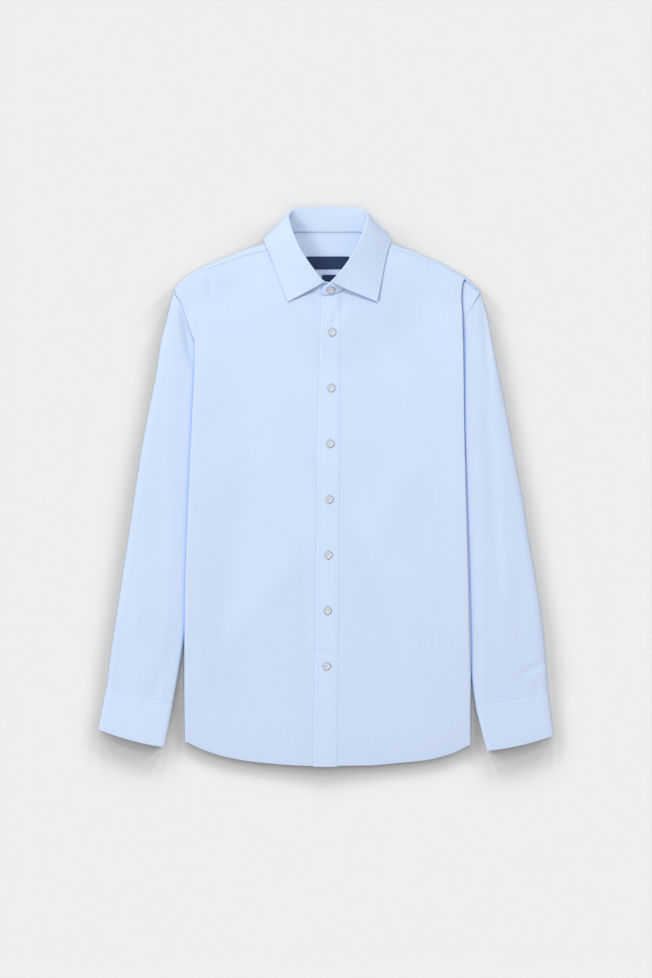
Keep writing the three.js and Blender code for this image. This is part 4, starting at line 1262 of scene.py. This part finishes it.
def from_frame(at, side, up, height=0.0):
    side, up = np.asarray(side, float)[:, None], np.asarray(up, float)[:, None]
    return at["point"] + side * at["side"] + up * at["up"] + height * at["normal"]


def button_mesh():
    """A lathe-turned disc with a raised rim and four eyes."""
    work = bmesh.new()
    turned = [work.verts.new((radius, 0, height)) for radius, height in BUTTON_PROFILE]
    edges = [work.edges.new(pair) for pair in zip(turned, turned[1:])]
    bmesh.ops.spin(
        work, geom=turned + edges, cent=(0, 0, 0), axis=(0, 0, 1), angle=2 * math.pi,
        steps=BUTTON_STEPS,
    )
    bmesh.ops.remove_doubles(work, verts=work.verts[:], dist=0.001)
    bmesh.ops.recalc_face_normals(work, faces=work.faces[:])
    bmesh.ops.scale(work, vec=(MM, MM, MM), verts=work.verts[:])
    disc = object_from("button_disc", work)
    work = bmesh.new()
    for x in (-EYE_OFFSET, EYE_OFFSET):
        for y in (-EYE_OFFSET, EYE_OFFSET):
            bmesh.ops.create_cone(
                work, cap_ends=True, segments=EYE_SIDES, radius1=EYE_RADIUS * MM,
                radius2=EYE_RADIUS * MM, depth=EYE_CUT_DEPTH * MM,
                matrix=Matrix.Translation((x * MM, y * MM, MM)),
            )
    eyes = object_from("button_eyes", work)
    cut = disc.modifiers.new("eyes", "BOOLEAN")
    cut.operation = "DIFFERENCE"
    cut.object = eyes
    bpy.context.view_layer.update()
    made = bpy.data.meshes.new_from_object(
        disc.evaluated_get(bpy.context.evaluated_depsgraph_get()),
    )
    for spent in (disc, eyes):
        bpy.data.objects.remove(spent)
    made.materials.clear()
    for material in (PEARL, PEARL_RIM, PEARL_HOLE_PAINTED_SHADE):
        made.materials.append(material)
    for face in made.polygons:
        middle = face.center / MM
        near_eye = math.hypot(abs(middle.x) - EYE_OFFSET, abs(middle.y) - EYE_OFFSET)
        # The walls of the eyes get a near-black colour: painted shade in the holes.
        if near_eye < EYE_RADIUS * 1.1 and abs(face.normal.z) < 0.5:
            face.material_index = 2
        elif middle.xy.length > RIM_RADIUS:
            face.material_index = 1
    made.shade_smooth()
    made.set_sharp_from_angle(angle=math.radians(SHARP_ANGLE))
    return made


def object_from(name, work):
    mesh = bpy.data.meshes.new(name)
    work.to_mesh(mesh)
    work.free()
    made = bpy.data.objects.new(name, mesh)
    bpy.context.scene.collection.objects.link(made)
    return made


def put_button(name, at, turn, mesh):
    made = bpy.data.objects.new(f"{name}_disc", mesh.copy())
    bpy.context.scene.collection.objects.link(made)
    axes = Matrix([at["side"], at["up"], at["normal"]]).transposed()
    place_at = at["point"] + at["normal"] * BUTTON_CLEAR
    made.matrix_world = (Matrix.Translation(Vector(place_at * MM)) @ axes.to_4x4()
                         @ Matrix.Rotation(math.radians(turn), 4, "Z"))
    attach(made, "root")
    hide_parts(name)


def button_threads(at, turn):
    """Two bars of thread from eye to eye, lifted over the button."""
    c, s = math.cos(math.radians(turn)), math.sin(math.radians(turn))
    side = at["side"] * c + at["up"] * s
    up = at["up"] * c - at["side"] * s
    rows = []
    for x in (-EYE_OFFSET, EYE_OFFSET):
        middle = at["point"] + side * x + at["normal"] * (BUTTON_CLEAR + EYE_THREAD_LIFT)
        rows.append((middle[None], up[None], at["normal"][None]))
    return tuple(np.concatenate(parts) for parts in zip(*rows))


def buttonhole(at, lengthwise):
    """Close stitches down both sides of the slit, with a bar at each end."""
    along = np.arange(-HOLE_LENGTH / 2, HOLE_LENGTH / 2 + 0.01, HOLE_PITCH)
    slit = np.concatenate([along, along, [along[0] - HOLE_BAR, along[-1] + HOLE_BAR]])
    beside = np.full(len(along), HOLE_SIDE)
    off = np.concatenate([-beside, beside, [0, 0]])
    if lengthwise:
        middle, direction = from_frame(at, off, slit), at["side"]
    else:
        middle, direction = from_frame(at, slit, off), at["up"]
    count = len(slit)
    return middle, np.repeat(direction[None], count, 0), np.repeat(at["normal"][None], count, 0)


# Finishes
def node_at(tree, kind, inputs, **settings):
    """A node with its settings made, and its inputs linked to sockets or set to values."""
    made = tree.nodes.new(kind)
    for name, value in settings.items():
        setattr(made, name, value)
    for name, value in inputs.items():
        feed(tree, value, made.inputs[name])
    return made


def feed(tree, value, socket):
    if isinstance(value, bpy.types.NodeSocket):
        tree.links.new(value, socket)
    else:
        socket.default_value = value


def new_group(name, inputs, outputs):
    """An empty node group, with the sockets that it is given and those that it fills."""
    group = bpy.data.node_groups.new(name, "ShaderNodeTree")
    for label_, kind, value in inputs:
        socket = group.interface.new_socket(name=label_, in_out="INPUT", socket_type=kind)
        socket.default_value = value
    for label_, kind in outputs:
        group.interface.new_socket(name=label_, in_out="OUTPUT", socket_type=kind)
    given = group.nodes.new("NodeGroupInput").outputs
    return group, given, group.nodes.new("NodeGroupOutput").inputs


# Sizes of the poplin's streaks and cloudiness, and the openness at which the painted crease shade
# starts and ends
STREAK_SCALE = (900, 14, 1)
STREAK_RELIEF = 1.5
MOTTLE_SCALE = 9
PAINTED_SHADE_FROM = 0.84
PAINTED_SHADE_TO = 0.36


def poplin_and_painted_shade_group():
    """Fine poplin: a plain weave, and threads that run a little uneven along the warp.

    Down in a crease, where light comes only off other cloth, shade is painted into the colour: it
    turns to the crease shade wherever ambient occlusion finds the cloth hemmed in.
    """
    group, given, gives = new_group(
        "poplin",
        [("Color", "NodeSocketColor", (0.6, 0.7, 0.9, 1)),
         ("Painted Crease Shade", "NodeSocketColor", (0.4, 0.6, 0.9, 1)),
         ("Painted Shade Reach", "NodeSocketFloat", 0.013), ("Streaks", "NodeSocketFloat", 0.1),
         ("Mottle", "NodeSocketFloat", 0.05), ("Thread Pitch", "NodeSocketFloat", 0.0003)],
        [("Color", "NodeSocketColor"), ("Height", "NodeSocketFloat")],
    )

    def calculate(operation, *values):
        inputs = dict(enumerate(values))
        return node_at(group, "ShaderNodeMath", inputs, operation=operation).outputs[0]

    def noise(vector, scale, detail):
        inputs = {"Vector": vector, "Scale": scale, "Detail": detail}
        made = node_at(group, "ShaderNodeTexNoise", inputs, noise_dimensions="2D")
        return made.outputs["Fac"]

    def centred(value, amount):
        return calculate("MULTIPLY", calculate("SUBTRACT", value, 0.5), given[amount])

    lengths = node_at(group, "ShaderNodeUVMap", {}, uv_map="lengths").outputs["UV"]
    warp = node_at(group, "ShaderNodeMapping", {"Vector": lengths, "Scale": STREAK_SCALE})
    streak = noise(warp.outputs["Vector"], 1, 3)
    uneven = calculate(
        "ADD", centred(streak, "Streaks"), centred(noise(lengths, MOTTLE_SCALE, 2), "Mottle"),
    )
    level = calculate("ADD", uneven, 1)
    # Painted shade: how hemmed in the cloth is sets how far its colour turns to the crease shade
    # colour.
    openness = node_at(
        group, "ShaderNodeAmbientOcclusion", {"Distance": given["Painted Shade Reach"]}, samples=8,
    )
    painted_crease_shade = node_at(group, "ShaderNodeMapRange", {
        "Value": openness.outputs["AO"], "From Min": PAINTED_SHADE_FROM, "From Max": PAINTED_SHADE_TO,
    })
    with_painted_shade = node_at(group, "ShaderNodeMix", {
        "Factor": painted_crease_shade.outputs["Result"], "A": given["Color"], "B": given["Painted Crease Shade"],
    }, data_type="RGBA")
    tinted = node_at(group, "ShaderNodeVectorMath", {
        0: with_painted_shade.outputs["Result"], "Scale": level,
    }, operation="SCALE")
    feed(group, tinted.outputs[0], gives["Color"])

    split = node_at(group, "ShaderNodeSeparateXYZ", {0: lengths})
    waves = []
    for axis in ("X", "Y"):
        turns = calculate("DIVIDE", split.outputs[axis], given["Thread Pitch"])
        waves.append(calculate("SINE", calculate("MULTIPLY", turns, math.pi)))
    weave = calculate("MULTIPLY", *waves)
    feed(group, calculate("MULTIPLY_ADD", streak, STREAK_RELIEF, weave), gives["Height"])
    return group


POPLIN_AND_PAINTED_SHADE = poplin_and_painted_shade_group()
WEAVE_RELIEF = 0.00005


def new_material(name, values):
    """A material with constant values on its shader's own sockets."""
    material = bpy.data.materials.new(name)
    material.use_nodes = True
    shader = material.node_tree.nodes["Principled BSDF"]
    for socket, value in values.items():
        shader.inputs[socket].default_value = value
    return material, material.node_tree, shader


def cloth_material(name, colour, painted_crease_shade, streaks=0.05, mottle=0.02, pitch=0.0003, bump=0.3):
    material, tree, shader = new_material(name, {
        "Roughness": 0.85, "Specular IOR Level": 0.25, "Sheen Weight": 0.15,
        "Sheen Roughness": 0.5,
    })
    poplin = node_at(tree, "ShaderNodeGroup", {}, node_tree=POPLIN_AND_PAINTED_SHADE)
    for socket, value in (
        ("Color", (*colour, 1)), ("Painted Crease Shade", (*painted_crease_shade, 1)), ("Streaks", streaks),
        ("Mottle", mottle), ("Thread Pitch", pitch),
    ):
        poplin.inputs[socket].default_value = value
    relief = node_at(tree, "ShaderNodeBump", {
        "Strength": bump, "Distance": WEAVE_RELIEF, "Height": poplin.outputs["Height"],
    })
    feed(tree, poplin.outputs["Color"], shader.inputs["Base Color"])
    feed(tree, relief.outputs["Normal"], shader.inputs["Normal"])
    return material


def smooth_material(name, colour, roughness, coat=0.0):
    """A moulded or spun finish, a little uneven in colour."""
    material, tree, shader = new_material(name, {"Roughness": roughness, "Coat Weight": coat})
    where = node_at(tree, "ShaderNodeTexCoord", {}).outputs["Object"]
    cloudy = node_at(tree, "ShaderNodeTexNoise", {"Scale": 180, "Vector": where})
    shades = node_at(tree, "ShaderNodeMix", {
        "A": (*[c * 0.88 for c in colour], 1), "B": (*[min(1, c * 1.08) for c in colour], 1),
        "Factor": cloudy.outputs["Fac"],
    }, data_type="RGBA")
    feed(tree, shades.outputs["Result"], shader.inputs["Base Color"])
    return material


# The second colour of each cloth is painted crease shade, put into the colour where the cloth is
# hemmed in by other cloth.
SHIRTING = cloth_material(
    "shirting", (0.56, 0.66, 0.842), (0.19, 0.42, 0.842), streaks=0.06, mottle=0.05, bump=0.35,
)
SHIRTING_FUSED = cloth_material("shirting_fused", (0.575, 0.678, 0.86), (0.2, 0.43, 0.86))
# A lighter copy of the fused shirting for the stand: painted light that makes up for the shade
# inside the collar.
SHIRTING_STAND_PAINTED_LIGHT = cloth_material("shirting_stand_painted_light", (0.64, 0.75, 0.92), (0.2, 0.43, 0.9))
LABEL_WEAVE = cloth_material(
    "label_weave", (0.02, 0.035, 0.09), (0.02, 0.035, 0.09),
    streaks=0.25, mottle=0.1, pitch=0.0005, bump=0.8,
)
SEWING = smooth_material("sewing_thread", (0.6, 0.7, 0.88), 0.7)
LABEL_SEWING = smooth_material("label_thread", (0.05, 0.07, 0.15), 0.7)
PEARL = smooth_material("pearl", (0.66, 0.68, 0.72), 0.25, 0.4)
PEARL_RIM = smooth_material("pearl_rim", (0.5, 0.5, 0.5), 0.45, 0.1)
# Painted shade: the near-black colour of the walls of the button's eyes.
PEARL_HOLE_PAINTED_SHADE = smooth_material("pearl_hole_painted_shade", (0.1, 0.08, 0.07), 0.6)

# The pieces. Each is kept with its grid, for the sewing on it.
made = {"back": back_panel(SHIRTING), "yoke": yoke(SHIRTING)}
for side in (RIGHT, LEFT):
    made[f"front_{side['name']}"] = front_panel(side, SHIRTING)
    made[f"sleeve_{side['name']}"] = sleeve(side, SHIRTING)
    made[f"cuff_{side['name']}"] = cuff(side, SHIRTING_FUSED)
made["placket"] = placket_band(SHIRTING_FUSED)
made["collar_stand"] = collar_stand(SHIRTING_STAND_PAINTED_LIGHT)
made["collar_leaf"] = collar_leaf(SHIRTING_FUSED)
made["label_main"] = label("label_main", 64, 19, 2.6, 336.5, LABEL_WEAVE)
made["label_size"] = label("label_size", 25.5, 16, 6.75, 310.4, LABEL_WEAVE)
surface = {node: grid for node, (grid, _) in made.items()}
pieces = {node: piece for node, (_, piece) in made.items()}


def topstitch(name, node_edges, inset, thickness, trim, slot, thread=SEWING, more=()):
    """One mesh of the rows of stitches along edges of grids, at one distance from them."""
    rows = [edge_stitches(grid, edge, inset, thickness, trim) for grid, edge in node_edges]
    sew(name, rows + list(more), thread, slot)


# Rows of stitches beside the edges. Only the upper cloth of a cuff is sewn through.
PLACKET_FOOT_INSET = 7.5
STAND_FOOT_INSET = 2.2
CUFF_UPPER = slice(4, 66)
placket, leaf = surface["placket"], surface["collar_leaf"]
fronts = surface["front_right"][:, STAND_COLUMNS:], surface["front_left"]
labels = surface["label_main"], surface["label_size"]
topstitch(
    "stitches_placket", [(placket, "start"), (placket, "end")],
    TOPSTITCH_INSET, BAND_CLOTH, 0.0, "fused_cloth",
    more=[edge_stitches(placket, "bottom", PLACKET_FOOT_INSET, BAND_CLOTH, 1)],
)
topstitch(
    "stitches_hem", [(grid, "bottom") for grid in fronts], HEM_WIDTH - 1, CLOTH, 2, "cloth",
)
topstitch(
    "stitches_collar", [(leaf, "start"), (leaf, "end"), (leaf, "top")],
    TOPSTITCH_INSET, COLLAR_CLOTH, 5, "fused_cloth",
    more=[edge_stitches(surface["collar_stand"], "start", STAND_FOOT_INSET, COLLAR_CLOTH, 3)],
)
for key in ("right", "left"):
    upper = surface[f"cuff_{key}"][:, CUFF_UPPER]
    topstitch(
        f"stitches_cuff_{key}", [(upper, "bottom"), (upper, "top")],
        TOPSTITCH_INSET, CUFF_CLOTH, 1, "fused_cloth",
    )
topstitch(
    "stitches_labels", [(grid, edge) for grid in labels for edge in ("start", "end")],
    1.5, LABEL_CLOTH, 0.8, "label_tape", LABEL_SEWING,
)

# Buttons, each turned a little further than the last
BUTTON_TURN = 37
disc = button_mesh()
frames = {f"button_front_{n}": front_button_frame(n) for n in range(1, FRONT_BUTTONS + 1)}
frames["button_collar"] = collar_button_frame()
thread_rows, hole_rows = [], []
for number, (name, at) in enumerate(frames.items()):
    turn = BUTTON_TURN * number % 90
    put_button(name, at, turn, disc)
    thread_rows.append(button_threads(at, turn))
    crosswise = name in ("button_collar", f"button_front_{FRONT_BUTTONS}")
    hole_rows.append(buttonhole(at, not crosswise))
sew("button_threads", thread_rows, SEWING, "pearl", EYE_THREAD)
sew("buttonhole_threads", hole_rows, SEWING, "fused_cloth", HOLE_STITCH)


# Room
FLOOR_REACH = 4000
FLOOR_GREY = 0.266


def floor():
    far = FLOOR_REACH
    corners = [(-far, -far, 0), (far, -far, 0), (far, far, 0), (-far, far, 0)]
    made = make_mesh("floor", corners, [(0, 1, 2, 3)])
    material, _, _ = new_material("floor_paper", {
        "Base Color": (FLOOR_GREY, FLOOR_GREY, FLOOR_GREY, 1), "Roughness": 1,
        "Specular IOR Level": 0,
    })
    made.data.materials.append(material)
    return made


PHOTO_WIDTH_MM = 978
PHOTO_SIZE = (652, 978)
CAMERA_HEIGHT = 5.0
SENSOR_MM = 36
AIM = (0, -0.0034, 0.012)


def camera():
    data = bpy.data.cameras.new("camera")
    data.sensor_width = SENSOR_MM
    long_side = PHOTO_WIDTH_MM * MM * PHOTO_SIZE[1] / PHOTO_SIZE[0]
    data.lens = SENSOR_MM * CAMERA_HEIGHT / long_side
    data.clip_end = 50
    made = bpy.data.objects.new("camera", data)
    made.location = (AIM[0], AIM[1], AIM[2] + CAMERA_HEIGHT)
    bpy.context.scene.collection.objects.link(made)
    bpy.context.scene.camera = made


# Lights. Sizes and distances are in metres and angles in degrees.
SKY_STRENGTH = 0.58
SOFTBOXES = rows_of("name level size azimuth elevation distance", [
    ("key_left", 0.26, 1.8, 92, 55, 5),
    ("key_top", 0.3, 0.6, 8, 58, 3),
])
FLOOR_SUNS = rows_of("name level spread azimuth elevation", [
    ("floor_top_-50", 0.29, 6, -50, 11),
    ("floor_top_-25", 0.29, 6, -25, 8.5),
    ("floor_top_0", 0.29, 6, 0, 8),
    ("floor_top_25", 0.29, 6, 25, 8.5),
    ("floor_top_50", 0.29, 6, 50, 11),
    ("floor_left", 0.3, 20, 65, 18),
    ("floor_right", 0.3, 20, -65, 18),
    ("floor_overhead", 0.6, 60, 180, 80),
])


def toward_light(azimuth, elevation):
    """Azimuth 0 is from the top of the picture and 90 from its left."""
    a, e = math.radians(azimuth), math.radians(elevation)
    return Vector((-math.sin(a) * math.cos(e), math.cos(a) * math.cos(e), math.sin(e)))


def lamp(data, direction, distance, lit):
    """Places a light, which lights only the objects of the collection lit, or all."""
    made = bpy.data.objects.new(data.name, data)
    made.location = direction * distance
    made.rotation_mode = "QUATERNION"
    made.rotation_quaternion = direction.to_track_quat("Z", "Y")
    bpy.context.scene.collection.objects.link(made)
    made.light_linking.receiver_collection = lit


def floor_sun(name, level, spread, azimuth, elevation, lit):
    """A wide light for the floor alone. level is how bright it makes a white floor."""
    data = bpy.data.lights.new(name, "SUN")
    data.energy = level * math.pi / math.sin(math.radians(elevation))
    data.angle = math.radians(spread)
    lamp(data, toward_light(azimuth, elevation), 1, lit)


def softbox(name, level, size, azimuth, elevation, distance, lit):
    """A round soft light on the shirt. level is how bright it makes white paper there."""
    data = bpy.data.lights.new(name, "AREA")
    data.shape = "DISK"
    data.size = size
    data.energy = level * (math.pi * distance) ** 2 / math.sin(math.radians(elevation))
    lamp(data, toward_light(azimuth, elevation), distance, lit)


def sky(strength):
    world = bpy.data.worlds.new("studio")
    world.use_nodes = True
    background = world.node_tree.nodes["Background"]
    background.inputs["Color"].default_value = (1, 1, 1, 1)
    background.inputs["Strength"].default_value = strength
    bpy.context.scene.world = world


paper = floor()
camera()
floor_only = bpy.data.collections.new("floor_only")
floor_only.objects.link(paper)
shirt_only = bpy.data.collections.new("all_but_floor")
shirt_only.objects.link(paper)
shirt_only.collection_objects[0].light_linking.link_state = "EXCLUDE"
sky(SKY_STRENGTH)
for row in SOFTBOXES:
    softbox(**row, lit=shirt_only)
for row in FLOOR_SUNS:
    floor_sun(**row, lit=floor_only)
bpy.context.scene.view_settings.view_transform = "Standard"

# The cut of the cloth that shows: width, length and area in metres, and what it lies on. A
# piece with no area given is cut as a rectangle.
SHEETS = (
    ("back", 0.445, 0.695, 0.242, ()),
    ("yoke", 0.521, 0.107, 0.039, ()),
    ("sleeve_right", 0.408, 0.609, 0.12, ("back",)),
    ("sleeve_left", 0.409, 0.62, 0.13, ("back",)),
    ("cuff_right", 0.209, 0.069, None, ()),
    ("cuff_left", 0.226, 0.07, None, ()),
    ("front_right", 0.314, 0.777, 0.192, ("back", "sleeve_right")),
    ("front_left", 0.286, 0.783, 0.177, ("back", "sleeve_left")),
    ("placket", 0.035, 0.712, None, ("front_right", "front_left")),
    ("collar_stand", 0.437, 0.039, 0.0145, ("front_right", "front_left", "yoke")),
    ("collar_leaf", 0.408, 0.079, 0.0196, ("collar_stand", "front_right", "front_left")),
    ("label_main", 0.064, 0.019, None, ("yoke",)),
    ("label_size", 0.0255, 0.016, None, ("yoke",)),
)
ON_THE_FLOOR = ("back", "yoke", "sleeve_right", "sleeve_left", "cuff_right", "cuff_left")
for node, width, length, area, carriers in SHEETS:
    under = [paper] if node in ON_THE_FLOOR else []
    under += [pieces[carrier] for carrier in carriers]
